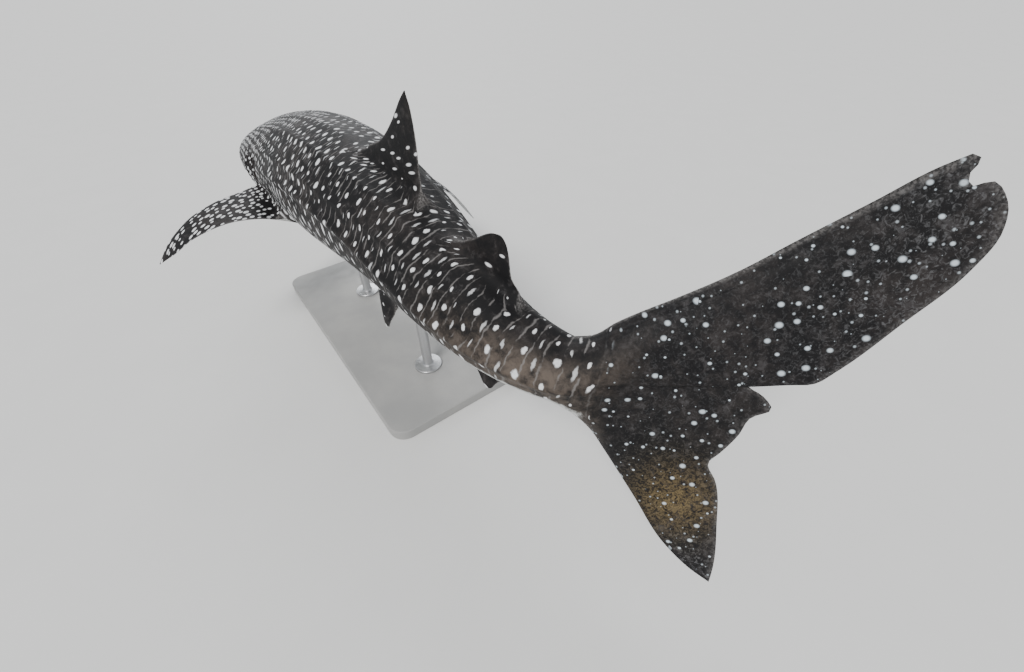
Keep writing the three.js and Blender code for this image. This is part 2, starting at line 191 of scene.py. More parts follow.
def smooth_step(low, high, x):
    """0 below low, 1 above high, and 3t squared less 2t cubed between them."""
    t = np.clip((np.asarray(x, float) - low) / (high - low), 0, 1)
    return t * t * (3 - 2 * t)


def directions(station):
    """Forward, left and up at a station: forward from heading and pitch, then the bank turned in."""
    station = np.clip(station, 0, CAUDAL_STATION)
    heading = np.radians(smooth(TURN_STATIONS, HEADING, station))
    pitch = np.radians(smooth(TURN_STATIONS, PITCH, station))
    bank = np.radians(np.interp(station, BANK_STATIONS, BANK))[..., None]
    forward = np.stack([np.cos(heading) * np.cos(pitch), np.sin(heading) * np.cos(pitch), np.sin(pitch)], -1)
    level = np.stack([-np.sin(heading), np.cos(heading), 0 * heading], -1)
    upright = np.cross(forward, level)
    left = level * np.cos(bank) + upright * np.sin(bank)
    up = upright * np.cos(bank) - level * np.sin(bank)
    return forward, left, up


spine_stations = np.arange(SPINE_COUNT) * SPINE_STEP
half_steps = spine_stations[:-1] + SPINE_STEP / 2
steps_back = -directions(half_steps)[0] * SPINE_STEP * TOTAL_LENGTH
spine = np.concatenate([np.zeros((1, 3)), np.cumsum(steps_back, axis=0)])
spine += MID_POINT - spine[round(MID_STATION / SPINE_STEP)]


def spine_point(station):
    """The backbone's point at a station; ahead of the snout it runs straight on."""
    station = np.asarray(station, float)
    point = np.stack([np.interp(station, spine_stations, spine[:, k]) for k in range(3)], -1)
    return point - np.minimum(station, 0)[..., None] * TOTAL_LENGTH * directions(station)[0]


def place(station, out, up, back=0.0):
    """A point from the backbone: out to the left, up and back, in shares of the total length."""
    station, out, up, back = np.broadcast_arrays(*(np.asarray(a, float) for a in (station, out, up, back)))
    forward, left, high = directions(station)
    offset = out[..., None] * left + up[..., None] * high - back[..., None] * forward
    return spine_point(station) + TOTAL_LENGTH * offset


# Body: rings round the backbone from inside the lips to the tail stalk. A section is a superellipse
# with its own half width, height above and depth below the backbone.
SECTION_STATIONS = [0, 0.01, 0.03, 0.06, 0.1, 0.15, 0.2, 0.28, 0.36, 0.44, 0.52, 0.6, 0.68, 0.74, 0.79,
                    0.83, 0.86]
HALF_WIDTH = [0.045, 0.058, 0.07, 0.079, 0.085, 0.088, 0.088, 0.085, 0.08, 0.072, 0.062, 0.051, 0.041,
              0.035, 0.031, 0.02, 0.006]
TOP_HEIGHT = [0.017, 0.026, 0.035, 0.044, 0.053, 0.062, 0.069, 0.076, 0.078, 0.073, 0.064, 0.054, 0.042,
              0.033, 0.026, 0.022, 0.012]
BELLY_DEPTH = [0.021, 0.029, 0.037, 0.046, 0.056, 0.066, 0.075, 0.083, 0.083, 0.077, 0.067, 0.055, 0.041,
               0.031, 0.024, 0.02, 0.01]
SQUARENESS_STATIONS = [0, 0.1, 0.3, 0.6, 0.74]
SQUARENESS = [2.5, 2.3, 2.0, 1.95, 1.7]
GIRTH_COUNT, GIRTH_CROWDING = 192, 0.5
QUARTER, HALF = GIRTH_COUNT // 4, GIRTH_COUNT // 2
CAUDAL_START = 0.77
# How far apart the rings are, in metres, by station
SPACING_STATIONS = [0, 0.045, 0.06, 0.075, 0.115, 0.125, 0.195, 0.215, 0.3, 0.7, 0.77]
RING_SPACING = [0.008, 0.006, 0.008, 0.014, 0.014, 0.0088, 0.0092, 0.02, 0.032, 0.032, 0.027]
# Lips, from inside the mouth round the rolled lip to the front face: how far back, and the share of
# the height
LIP_BACK = [0.034, 0.024, 0.016, 0.010, 0.0055, 0.0022, -0.0006, -0.0028, -0.0044, -0.0054, -0.0058, -0.0056,
            -0.0048, -0.0034, -0.0016]
LIP_HEIGHT = [0.02, 0.022, 0.025, 0.03, 0.04, 0.06, 0.10, 0.16, 0.24, 0.34, 0.46, 0.59, 0.72, 0.84, 0.94]
LOWER_LIP_BULGE, LIP_TUCK = 0.55, 0.10
MOUTH_FADE = (0.03, 0.10)
SNOUT_SWEEP, SNOUT_SWEEP_END, JAW_SETBACK = 0.015, 0.042, 0.006
# The root of the pectoral fin is tilted, so the lines along the flank lean with it
ROOT_ANGLE, ROOT_LEAN, ROOT_REACH = -13.0, 11.0, 34.0
ROOT_LEAN_STATIONS = [0.12, 0.19, 0.283, 0.37]

girth_phase = 2 * np.pi * np.arange(GIRTH_COUNT) / GIRTH_COUNT
girth_angle = girth_phase - GIRTH_CROWDING / 2 * np.sin(2 * girth_phase)


def graded_stations(first, last):
    """Stations whose steps follow the wanted ring spacing: the running sum of 1 over it, read backwards."""
    fine = np.linspace(first, last, 4000)
    density = TOTAL_LENGTH / np.interp(fine, SPACING_STATIONS, RING_SPACING)
    total = np.concatenate([[0], np.cumsum((density[1:] + density[:-1]) / 2 * np.diff(fine))])
    return np.interp(np.linspace(0, total[-1], int(round(total[-1])) + 1), total, fine)


def section(station, angle):
    """Half width and height of the skin at an angle: the cosine and sine over their superellipse norm."""
    power = np.interp(station, SQUARENESS_STATIONS, SQUARENESS)
    c, s = np.cos(angle), np.sin(angle)
    norm = (np.abs(c) ** power + np.abs(s) ** power) ** (-1 / power)
    height = np.where(s > 0, smooth(SECTION_STATIONS, TOP_HEIGHT, station),
                      smooth(SECTION_STATIONS, BELLY_DEPTH, station))
    return smooth(SECTION_STATIONS, HALF_WIDTH, station) * c * norm, height * s * norm


def signed_degrees(angle):
    """The angle in degrees folded to the left side: 90 is the back, 0 the flank and -90 the belly."""
    return np.degrees(np.arcsin(np.clip(np.sin(angle), -1, 1)))


def leaned(station, angle):
    """The angle moved near the pectoral root so that the lines along the flank follow its tilt."""
    lean = np.interp(station, ROOT_LEAN_STATIONS, [0, ROOT_LEAN, -ROOT_LEAN, 0])
    degrees = signed_degrees(angle)
    near = smooth_step(ROOT_REACH, 0, np.abs(degrees - ROOT_ANGLE))
    return angle + np.radians(lean * near) * np.where(np.cos(angle) >= 0, 1, -1)


body_stations = graded_stations(0.0, CAUDAL_START)
ring_station, ring_angle = np.meshgrid(body_stations, girth_angle, indexing="ij")
ring_angle = leaned(ring_station, ring_angle)
sweep = np.clip(1 - ring_station / SNOUT_SWEEP_END, 0, 1) ** 2
below = np.clip(-np.sin(ring_angle), 0, 1) ** 2
swept_station = ring_station + sweep * (SNOUT_SWEEP * np.cos(ring_angle) ** 2 + JAW_SETBACK * below)
body_out, body_up = section(swept_station, ring_angle)

# Raised lines of the skin: angle by station, height by station in metres, and half width in metres
RIDGES = [
    ([0.05, 0.6], [90, 90], [0.06, 0.14, 0.4, 0.44, 0.58, 0.63, 0.72, 0.76],
     [0, 0.012, 0.012, 0, 0.010, 0, 0.008, 0], 0.05),
    ([0.1, 0.35, 0.68], [68, 64, 58], [0.1, 0.17, 0.55, 0.68], [0, 0.016, 0.016, 0], 0.030),
    ([0.09, 0.3, 0.5, 0.72], [43, 39, 34, 32], [0.1, 0.17, 0.6, 0.74], [0, 0.018, 0.018, 0], 0.032),
    ([0.15, 0.3, 0.4, 0.5, 0.58, 0.7, 0.77], [22, 22, 20, 12, 2, -4, -4], [0.15, 0.3, 0.5, 0.7, 0.77],
     [0, 0.030, 0.036, 0.030, 0.024], 0.045),
]
# Gill slits: first and last station, their ends in degrees from the first to the last, and how they bow
GILL_STATIONS = np.linspace(0.127, 0.185, 5)
GILL_TOP = np.array([33, 34, 34, 33, 30])
GILL_FOOT = np.array([-34, -32, -27, -14, 3])
GILL_BOW, GILL_SLANT, GILL_FADE = 0.005, 0.004, (0.86, 1.08)
GILL_DEPTH, GILL_WIDTH, GILL_SHADE_WIDTH = 0.026, 0.0120, 0.0108
FLAP_HEIGHT, FLAP_WIDTH, FLAP_AHEAD = 0.014, 0.020, 0.030


def bell(away, width):
    """A bell curve: e to the minus of the distance over the width, squared."""
    return np.exp(-np.clip(away / width, -6, 6) ** 2)


def gill_shape(station, angle):
    """Push along the normal and painted shade of the gill slits: a narrow trough with a low flap before it.
    """
    push, painted_shade = np.zeros((2, *station.shape))
    for at, top, foot in zip(GILL_STATIONS, GILL_TOP, GILL_FOOT):
        share = (signed_degrees(angle) - (top + foot) / 2) / ((top - foot) / 2)
        away = (station - at - GILL_BOW * share ** 2 - GILL_SLANT * share) * TOTAL_LENGTH
        window = 1 - smooth_step(*GILL_FADE, np.abs(share))
        flap = FLAP_HEIGHT * bell(away + FLAP_AHEAD, FLAP_WIDTH)
        push += window * (flap - GILL_DEPTH * bell(away, GILL_WIDTH))
        # Painted shade down the middle of each slit
        painted_shade = np.maximum(painted_shade, window * bell(away, GILL_SHADE_WIDTH))
    return push, painted_shade


push, recess_shade = gill_shape(ring_station, ring_angle)
ring_radius = smooth(SECTION_STATIONS, HALF_WIDTH, ring_station) * TOTAL_LENGTH
for line_stations, line_angles, high_stations, heights, width in RIDGES:
    line_angle = smooth(line_stations, line_angles, ring_station)
    away = np.radians(signed_degrees(ring_angle) - line_angle) * ring_radius
    push += np.interp(ring_station, high_stations, heights) * bell(away, width)
normal = np.stack([np.cos(ring_angle) / smooth(SECTION_STATIONS, HALF_WIDTH, swept_station),
                   np.sin(ring_angle) / smooth(SECTION_STATIONS, TOP_HEIGHT, swept_station)])
push_out, push_up = push / TOTAL_LENGTH * normal / np.hypot(*normal)
body_out, body_up = body_out + push_out, body_up + push_up
body_points = place(swept_station, body_out, body_up)

# Lips and mouth: the front face curls in over both lips and runs back into a narrow slit across the
# whole width of the head, as the species' mouth lies at the very front.
lip_back, lip_height = np.array(LIP_BACK)[:, None], np.array(LIP_HEIGHT)[:, None]
front_station, front_angle = swept_station[:1] + 0 * lip_back, ring_angle[:1] + 0 * lip_back
front_out, front_up = section(front_station, front_angle)
tuck = 1 - LIP_TUCK * np.clip(1 - 2 * lip_height, 0, 1)
lip_bulge = np.where((lip_back < 0) & (np.sin(front_angle) < 0), LOWER_LIP_BULGE, 1.0)
lip_points = place(front_station + lip_back * lip_bulge, front_out * tuck, front_up * lip_height)
# Painted shade on the lip rings deep inside the mouth slit
mouth_shade = 1 - smooth_step(*MOUTH_FADE, lip_height) + 0 * front_angle

# Nostrils: one on each side low on the upper lip, a soft dent in the skin with a short blunt barbel on
# its inner side. Both are pushed out of the lip's own rings along the snout.
NOSTRIL_ANGLE, NOSTRIL_LIP_RING, NOSTRIL_RADIUS, NOSTRIL_DEPTH = 50.0, 10, 0.030, 0.042
BARBEL_RADIUS, BARBEL_LENGTH, BARBEL_INWARD, BARBEL_DOWN = 0.024, 0.034, 0.056, 0.0168


def girth_column(degrees):
    """The column of the girth whose angle is nearest."""
    return int(np.argmin(np.abs(girth_angle - np.radians(degrees) % (2 * np.pi))))


snout_forward, snout_left, snout_up = directions(np.array(0.0))
for side, degrees in ((1, NOSTRIL_ANGLE), (-1, 180 - NOSTRIL_ANGLE)):
    nostril = lip_points[NOSTRIL_LIP_RING, girth_column(degrees)].copy()
    barbel = nostril - side * BARBEL_INWARD * snout_left - BARBEL_DOWN * snout_up
    hole = bell(np.linalg.norm(lip_points - nostril, axis=2), NOSTRIL_RADIUS)
    nub = bell(np.linalg.norm(lip_points - barbel, axis=2), BARBEL_RADIUS)
    lip_points = lip_points + (BARBEL_LENGTH * nub - NOSTRIL_DEPTH * hole)[..., None] * snout_forward
    # The nostril's hollow also gets painted shade
    mouth_shade = np.maximum(mouth_shade, hole)

# Eyes: dark glossy balls seated low on the sides of the head, just behind the corners of the mouth.
# Each has a raised round lid of skin, and a small spiracle lies behind it.
EYE_STATION, EYE_OPENING, EYE_SURROUND = 0.052, 0.031, 0.2
LID_LIP, LID_REACH, LID_SHADE, LID_SHADE_WIDTH, LID_SHADE_EDGE = 0.004, 0.075, 0.75, 0.009, 1.05
DISH_DEPTH, DISH_FLOOR, DISH_EDGE = 0.010, 0.55, 1.15
SPIRACLE_BACK, SPIRACLE_UP = 0.150, 0.012
SPIRACLE_DEPTH, SPIRACLE_LENGTH, SPIRACLE_HEIGHT = 0.020, 0.024, 0.015


def seat_eye(points, painted_shade, centre, radius, outward, forward):
    """Skin round an eye: heights along its outward axis make a shallow dish with a raised
    lid, which the ball passes through, and the spiracle is a dent. Painted shade rings the lid's
    inner edge and fills the spiracle."""
    offset = points - centre
    height, ahead, above = offset @ outward, offset @ forward, offset @ np.cross(outward, forward)
    away = np.hypot(ahead, above)
    near = (height > -radius) & (away < EYE_SURROUND)
    rim_height = math.sqrt(radius ** 2 - EYE_OPENING ** 2) + LID_LIP
    lid = 1 - smooth_step(EYE_OPENING * DISH_EDGE, LID_REACH, away)
    dish = DISH_DEPTH * (1 - smooth_step(EYE_OPENING * DISH_FLOOR, EYE_OPENING * DISH_EDGE, away))
    lid_shade = LID_SHADE * bell(away - EYE_OPENING * LID_SHADE_EDGE, LID_SHADE_WIDTH)
    dent = bell(np.hypot((ahead + SPIRACLE_BACK) / SPIRACLE_LENGTH,
                         (above - SPIRACLE_UP) / SPIRACLE_HEIGHT), 1)
    change = lid * (rim_height - dish - height) - SPIRACLE_DEPTH * dent
    # Painted shade: a ring where the lid meets the ball, and the spiracle's hollow
    painted_shade = np.where(near, np.maximum(painted_shade, np.maximum(lid_shade, dent)), painted_shade)
    return points + np.where(near, change, 0)[..., None] * outward, painted_shade


eye_forward, eye_left_way = directions(np.array(EYE_STATION))[:2]
eyes = {}
for eye_name, side in (("eye_left", 1), ("eye_right", -1)):
    low, high = (np.array(corner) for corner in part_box(eye_name))
    eyes[eye_name] = ((low + high) / 2, (high[2] - low[2]) / 2, side * eye_left_way)
    body_points, recess_shade = seat_eye(body_points, recess_shade, *eyes[eye_name], eye_forward)

# Caudal fin: the rings of the tail stalk open into a tall plate. Its rows run from the stalk to the
# trailing edge, between the leading edges of the two lobes, as a Coons patch in the tail's plane.
CAUDAL_ROWS = 60
# Points are [back, up] from the backbone at CAUDAL_STATION
UPPER_EDGE = [(-0.012, 0.0365), (0.003, 0.050), (0.020, 0.063), (0.037, 0.075), (0.072, 0.102),
              (0.098, 0.126), (0.129, 0.154), (0.153, 0.176), (0.1645, 0.184)]
LOWER_EDGE = [(-0.012, -0.0345), (0.002, -0.045), (0.016, -0.060), (0.047, -0.095), (0.082, -0.135),
              (0.109, -0.154), (0.127, -0.162)]
TRAILING_EDGE = [(0.1645, 0.184), (0.170, 0.182), (0.1675, 0.175), (0.1705, 0.168), (0.179, 0.172),
                 (0.190, 0.163), (0.195, 0.146), (0.190, 0.124), (0.171, 0.087), (0.149, 0.048),
                 (0.140, 0.036), (0.120, 0.030), (0.101, 0.023), (0.113, 0.018), (0.121, 0.010),
                 (0.110, -0.001), (0.107, -0.016), (0.099, -0.036), (0.094, -0.046), (0.104, -0.062),
                 (0.116, -0.101), (0.126, -0.148), (0.127, -0.162)]
CORE_ROWS, CORE_SHARE = [0, 0.12, 0.3, 0.6, 1], [1.0, 0.8, 0.42, 0.12, 0.0]
PLATE_ROWS, PLATE_HALF, PLATE_ROUND = [0, 0.3, 0.7, 1], [0.0034, 0.0030, 0.0018, 0.0005], 0.45


def path_length(points):
    """The distance along rows of points from the first row: the running sum of the steps."""
    steps = np.linalg.norm(np.diff(points, axis=0), axis=-1)
    return np.concatenate([0 * steps[:1], np.cumsum(steps, axis=0)])


def along(points, shares):
    """Points at shares of the length of the smooth curve through the given points."""
    points = np.array(points, float)
    chord = path_length(points)
    fine = np.linspace(0, chord[-1], 1200)
    curve = np.stack([smooth(chord, points[:, k], fine) for k in range(2)], -1)
    length = path_length(curve)
    return np.stack([np.interp(shares * length[-1], length, curve[:, k]) for k in range(2)], -1)


# From the top of the ring down its left or right side to the bottom, and the share of the way there
left_side, right_side = ((QUARTER + way * np.arange(HALF + 1)) % GIRTH_COUNT for way in (-1, 1))
share = np.linspace(0, 1, HALF + 1)[None, :]
rows = np.linspace(0, 1, CAUDAL_ROWS + 1)[1:, None]
stalk_out, stalk_up = body_out[-1], body_up[-1]
stalk_back = CAUDAL_START - CAUDAL_STATION
inner = np.stack([np.full(HALF + 1, stalk_back), stalk_up[left_side]], -1)[None]
outer = along(TRAILING_EDGE, share[0])[None]
upper = along([tuple(inner[0, 0])] + UPPER_EDGE, rows[:, 0])[:, None]
lower = along([tuple(inner[0, -1])] + LOWER_EDGE, rows[:, 0])[:, None]


def coons_patch(start, end, first, last, u, v):
    """The rulings between opposite edges added, less the corners' bilinear: v runs from start to end
    and u from first to last."""
    corners = ((1 - u) * ((1 - v) * start[:, :1] + v * end[:, :1])
               + u * ((1 - v) * start[:, -1:] + v * end[:, -1:]))
    return (1 - v) * start + v * end + (1 - u) * first + u * last - corners


plate = coons_patch(inner, outer, upper, lower, share[..., None], rows[..., None])
core = smooth(CORE_ROWS, CORE_SHARE, rows)
plate_half = smooth(PLATE_ROWS, PLATE_HALF, rows) * np.sin(np.pi * share) ** PLATE_ROUND * (1 - core)
half_thick = stalk_out[left_side][None] * core + plate_half
plate_back, plate_up = plate[..., 0], plate[..., 1]
caudal_points = np.zeros((CAUDAL_ROWS, GIRTH_COUNT, 3))
caudal_back, caudal_up = np.zeros((2, CAUDAL_ROWS, GIRTH_COUNT))
for side, columns in ((1, left_side), (-1, right_side)):
    # On the curved backbone before CAUDAL_STATION and in the tail's flat plane behind it
    caudal_points[:, columns] = place(CAUDAL_STATION + np.minimum(plate_back, 0), side * half_thick, plate_up,
                                      np.maximum(plate_back, 0))
    caudal_back[:, columns], caudal_up[:, columns] = plate_back, plate_up

# Pattern coordinates: one unit is one row of spots along the body, and one spot round it. Rows are
# close together on the head and wide apart behind, as on the real animal.
ROW_STATIONS = [0, 0.05, 0.12, 0.2, 0.3, 0.45, 0.6, 0.8]
ROW_SPACING = [0.052, 0.060, 0.076, 0.096, 0.118, 0.152, 0.180, 0.190]
SPOT_STEP = [0.060, 0.060, 0.072, 0.090, 0.112, 0.130, 0.136, 0.136]
CAUDAL_CELL, CAUDAL_CELL_SHIFT = 0.105, 40

grid = np.concatenate([lip_points, body_points, caudal_points])
grid_rings, LIP_RINGS = len(grid), len(LIP_BACK)
last_body_ring = LIP_RINGS + len(body_stations) - 1
lip_rows, body_rows = slice(0, LIP_RINGS), slice(LIP_RINGS, last_body_ring + 1)
tail_rows = slice(last_body_ring + 1, None)
row_steps = TOTAL_LENGTH * np.diff(body_stations) / smooth(ROW_STATIONS, ROW_SPACING, body_stations[1:])
row_number = np.concatenate([[0], np.cumsum(row_steps)])
ring_girth = np.linalg.norm(np.roll(body_points, -1, axis=1) - body_points, axis=2)
from_left = np.cumsum(ring_girth, axis=1) - ring_girth
from_back = from_left - from_left[:, QUARTER:QUARTER + 1]
# The last quarter of the ring lies on the left below the flank, so it is measured the short way round
whole_girth = from_left[:, -1:] + ring_girth[:, -1:]
from_back = np.where(from_back > whole_girth / 2, from_back - whole_girth, from_back)
spot_number = from_back / smooth(ROW_STATIONS, SPOT_STEP, body_stations)[:, None]

# The body's row and spot numbers, then a fin's own; both run on over each other's borders
cells = np.zeros((grid_rings, GIRTH_COUNT, 4))
lip_steps = np.linalg.norm(np.diff(grid[:LIP_RINGS + 1], axis=0), axis=2)
cells[lip_rows, :, 0] = -np.cumsum(lip_steps[::-1], axis=0)[::-1] / ROW_SPACING[0]
cells[lip_rows, :, 1] = spot_number[0]
cells[body_rows, :, 0] = row_number[:, None]
cells[body_rows, :, 1] = spot_number
cells[tail_rows, :, 0] = row_number[-1] + (caudal_back - stalk_back) * TOTAL_LENGTH / ROW_SPACING[-1]
cells[tail_rows, :, 1] = spot_number[-1]
for ring_rows, back, up in ((body_rows, stalk_back, stalk_up), (tail_rows, caudal_back, caudal_up)):
    cells[ring_rows, :, 2] = back * TOTAL_LENGTH / CAUDAL_CELL + CAUDAL_CELL_SHIFT
    cells[ring_rows, :, 3] = up * TOTAL_LENGTH / CAUDAL_CELL

# Marks of the skin at each vertex, from 0 to 1: which fin it is on, pale belly, painted shade in the
# mouth, nostrils, gill slits, eye lids and spiracles, fin rims that are pale edges with a painted highlight,
# warm lower stalk, spots drawn out to streaks below the flank ridge, the lower lobe's amber patch and the
# lobes' grey ends. They are attributes that the skin's finish reads.
PALE_TOP, PALE_FOOT = -20.0, -52.0
PALE_FADE, WARM_FADE = 0.25, 0.30
WARM_STATIONS, WARM_DEGREES = (0.62, 0.75), (55, 12)
STREAK_START, STREAK_END, STREAK_DEGREES = (0.22, 0.30), (0.54, 0.46), (20, 8)
CAUDAL_FADE, LOWER_GREY, REAR_GREY, REAR_GREY_SHARE = (-0.02, 0.05), (-0.105, -0.155), (0.10, 0.17), 0.6
# The tail's rims, at the trailing edge and along the upper lobe's leading edge: pale edge with a painted
# highlight
REAR_RIM, REAR_RIM_SHARE, UPPER_EDGE_RIM_AND_HIGHLIGHT = (0.975, 1.0), 0.7, (0.0, 0.02)
AMBER_BACK, AMBER_UP, AMBER_REACH = 0.078, -0.088, 0.032
MARKS = ("pale", "painted_shade", "caudal", "rim_and_highlight", "pectoral", "median", "warm", "streak", "amber", "grey")
marks = {name: np.zeros((grid_rings, GIRTH_COUNT)) for name in MARKS}
ring_degrees = signed_degrees(ring_angle)
marks["pale"][body_rows] = smooth_step(PALE_TOP, PALE_FOOT, ring_degrees)
marks["pale"][lip_rows] = marks["pale"][LIP_RINGS]
marks["painted_shade"][lip_rows], marks["painted_shade"][body_rows] = mouth_shade, recess_shade
marks["caudal"][tail_rows] = smooth_step(*CAUDAL_FADE, caudal_back)
# Tail rims: a pale edge partly painted as highlight, on the trailing edge and the upper lobe's leading edge
for columns in (left_side, right_side):
    marks["rim_and_highlight"][tail_rows, columns] = np.maximum(REAR_RIM_SHARE * smooth_step(*REAR_RIM, rows),
                                                  1 - smooth_step(*UPPER_EDGE_RIM_AND_HIGHLIGHT, share))
marks["warm"][body_rows] = (smooth_step(*WARM_STATIONS, ring_station)
                            * smooth_step(*WARM_DEGREES, ring_degrees))
for name, fade in (("pale", PALE_FADE), ("warm", WARM_FADE)):
    marks[name][tail_rows] = marks[name][last_body_ring] * np.clip(1 - rows / fade, 0, 1)
marks["amber"][tail_rows] = bell(np.hypot(caudal_back - AMBER_BACK, caudal_up - AMBER_UP), AMBER_REACH)
marks["grey"][tail_rows] = np.maximum(smooth_step(*LOWER_GREY, caudal_up),
                                      REAR_GREY_SHARE * smooth_step(*REAR_GREY, caudal_back))
marks["streak"][body_rows] = (smooth_step(*STREAK_START, ring_station)
                              * smooth_step(*STREAK_END, ring_station)
                              * smooth_step(*STREAK_DEGREES, ring_degrees))

# Fins: stiff flat blades under the same skin. Each grows out of a patch of the body's own faces with a
# soft fillet, and is lofted ring by ring round the chord between a leading and a trailing edge.
# Points are [station, up] or [station, out, up], the pectoral's [back, out, up]; thickness in millimetres.

# A fin's patch lies between two stations and two angles of the left side. Root is where its first ring
# stands and fillet where the soft foot ends, as shares of the span, and pale is the underside's paleness.
FIRST_DORSAL = dict(
    out=[0, 0.2, 0.45, 0.7, 0.9, 1],
    lead=[(0.452, 0.06), (0.466, 0.077), (0.5, 0.094), (0.525, 0.117), (0.541, 0.138), (0.549, 0.1487)],
    trail=[(0.548, 0.05), (0.568, 0.065), (0.566, 0.088), (0.562, 0.116), (0.556, 0.138), (0.552, 0.1475)],
    thickness=[66, 54, 40, 28, 17, 9], stations=(0.438, 0.584), degrees=(76, 104),
    root=0.13, fillet=0.26, rings=21, kind="median", cell=(0.10, 0.16), pale=0.0)
SECOND_DORSAL = dict(
    out=[0, 0.25, 0.55, 0.8, 1],
    lead=[(0.628, 0.042), (0.64, 0.056), (0.653, 0.065), (0.667, 0.076), (0.677, 0.0815)],
    trail=[(0.692, 0.032), (0.716, 0.042), (0.703, 0.054), (0.695, 0.07), (0.688, 0.0805)],
    thickness=[40, 34, 26, 18, 8], stations=(0.612, 0.732), degrees=(70, 110),
    root=0.14, fillet=0.32, rings=14, kind="median", cell=(0.13, 0.13), pale=0.0)
ANAL = dict(
    out=[0, 0.25, 0.6, 1],
    lead=[(0.664, -0.034), (0.674, -0.045), (0.69, -0.053), (0.703, -0.0615)],
    trail=[(0.702, -0.03), (0.722, -0.037), (0.717, -0.046), (0.711, -0.06)],
    thickness=[34, 28, 20, 8], stations=(0.652, 0.736), degrees=(250, 290),
    root=0.19, fillet=0.38, rings=8, kind="median", cell=(0.13, 0.15), pale=0.0)
PELVIC = dict(
    out=[0, 0.3, 0.7, 1],
    lead=[(0.497, 0.028, -0.048), (0.51, 0.037, -0.062), (0.54, 0.044, -0.074), (0.562, 0.047, -0.081)],
    trail=[(0.54, 0.026, -0.044), (0.566, 0.034, -0.06), (0.571, 0.042, -0.072), (0.573, 0.046, -0.08)],
    thickness=[40, 32, 20, 8], stations=(0.488, 0.578), degrees=(-67, -48),
    root=0.18, fillet=0.36, rings=8, kind="median", cell=(0.1, 0.1), pale=0.8)
PECTORAL_STATION = 0.235
PECTORAL = dict(
    out=[0, 0.12, 0.35, 0.6, 0.8, 0.95, 1],
    lead=[(-0.048, 0.056, -0.014), (-0.045, 0.085, -0.003), (-0.021, 0.12, 0.005), (0.004, 0.162, 0.0105),
          (0.027, 0.2, 0.007), (0.052, 0.235, -0.007), (0.068, 0.245, -0.0125)],
    trail=[(0.05, 0.056, -0.044), (0.046, 0.085, -0.034), (0.06, 0.12, -0.012), (0.071, 0.16, 0.001),
           (0.076, 0.2, 0), (0.079, 0.228, -0.008), (0.077, 0.243, -0.0122)],
    thickness=[96, 84, 62, 46, 32, 18, 8], stations=(0.180, 0.294), degrees=(-26, -1),
    root=0.125, fillet=0.21, rings=34, kind="pectoral", cell=(0.062, 0.092), pale=1.0)
PECTORAL_PIVOT_OUT, PECTORAL_PIVOT_UP = 0.07, -0.02
RIGHT_PECTORAL_DROOP = 50.0
# Each fin reads another stretch of the endless pattern, and its far side yet another
FIN_CELL_SHIFT, FIN_CELL_SHIFT_BY_STATION, FAR_SIDE_SHIFT = 73, 60, 17
LEAD_ROUND, TRAIL_ROUND, FILLET_RINGS = 0.045, 0.012, 6
REAR_FILLET_EASE, REAR_FILLET_FADE = 0.6, (0.80, 1.0)
TIP_START, TIP_CHORD, TIP_SHARES = 0.90, 0.12, np.array([0.35, 0.62, 0.82, 0.94, 1.0])
LEAST_PROFILE, SPAN_STEP, MILLIMETRES = 0.10, 0.02, 1000
# Rims at the fins' leading and trailing edges: pale edge with a painted highlight
LEAD_RIM, TRAIL_RIM = (0.0, 0.035), (0.955, 0.99)


def on_median(p):
    """A point [station, up] of a fin in the body's middle plane."""
    return place(p[..., 0], 0.0, p[..., 1])


def on_side(side):
    """Points [station, out, up] on one side of the body."""
    return lambda p: place(p[..., 0], side * p[..., 1], p[..., 2])


def on_pectoral(side, droop):
    """Points [back, out, up] from the shoulder, turned down about the line of the fin's root."""
    turn = math.radians(droop)

    def locate(p):
        reach, lift = p[..., 1] - PECTORAL_PIVOT_OUT, p[..., 2] - PECTORAL_PIVOT_UP
        angle = np.where(reach > 0, turn, 0.0)
        out = PECTORAL_PIVOT_OUT + reach * np.cos(angle) + lift * np.sin(angle)
        up = PECTORAL_PIVOT_UP + lift * np.cos(angle) - reach * np.sin(angle)
        return place(PECTORAL_STATION, side * out, up, p[..., 0])
    return locate


def fin_rings(fin, locate, outs, chord_share, thick_share):
    """Rings of a fin: point on the chord less thick share times the half thickness along its normal. Near
    the tip the chord shrinks as the half height of a circle does, which rounds the tip."""
    def edge_points(edge, v):
        values = np.array(fin[edge], float)
        return locate(np.stack([smooth(fin["out"], column, v) for column in values.T], -1))
    lead, trail = edge_points("lead", outs), edge_points("trail", outs)
    into_tip = np.clip((outs - TIP_START) / (1 - TIP_START), 0, 1)
    half_chord = (trail - lead) / 2 * (TIP_CHORD + (1 - TIP_CHORD) * np.sqrt(1 - into_tip ** 2))[:, None]
    middle, chord = (lead + trail) / 2, 2 * half_chord
    ahead, behind = np.minimum(outs + SPAN_STEP, 1), np.maximum(outs - SPAN_STEP, 0)
    along_span = sum(edge_points(edge, ahead) - edge_points(edge, behind) for edge in ("lead", "trail"))
    normal = np.cross(chord, along_span)
    normal /= np.linalg.norm(normal, axis=1, keepdims=True)
    # The thickness of a wing section by the share of the chord
    x = chord_share
    profile = 10 * (0.2969 * np.sqrt(x) - 0.126 * x - 0.3516 * x ** 2 + 0.2843 * x ** 3 - 0.1036 * x ** 4)
    half = smooth(fin["out"], fin["thickness"], outs)[:, None] / (2 * MILLIMETRES)
    offset = half * np.maximum(profile, LEAST_PROFILE) * thick_share
    on_chord = (middle - half_chord)[:, None] + chord[:, None] * x[None, :, None]
    points = on_chord - offset[..., None] * normal[:, None]
    return points, path_length(middle), np.linalg.norm(chord, axis=1)


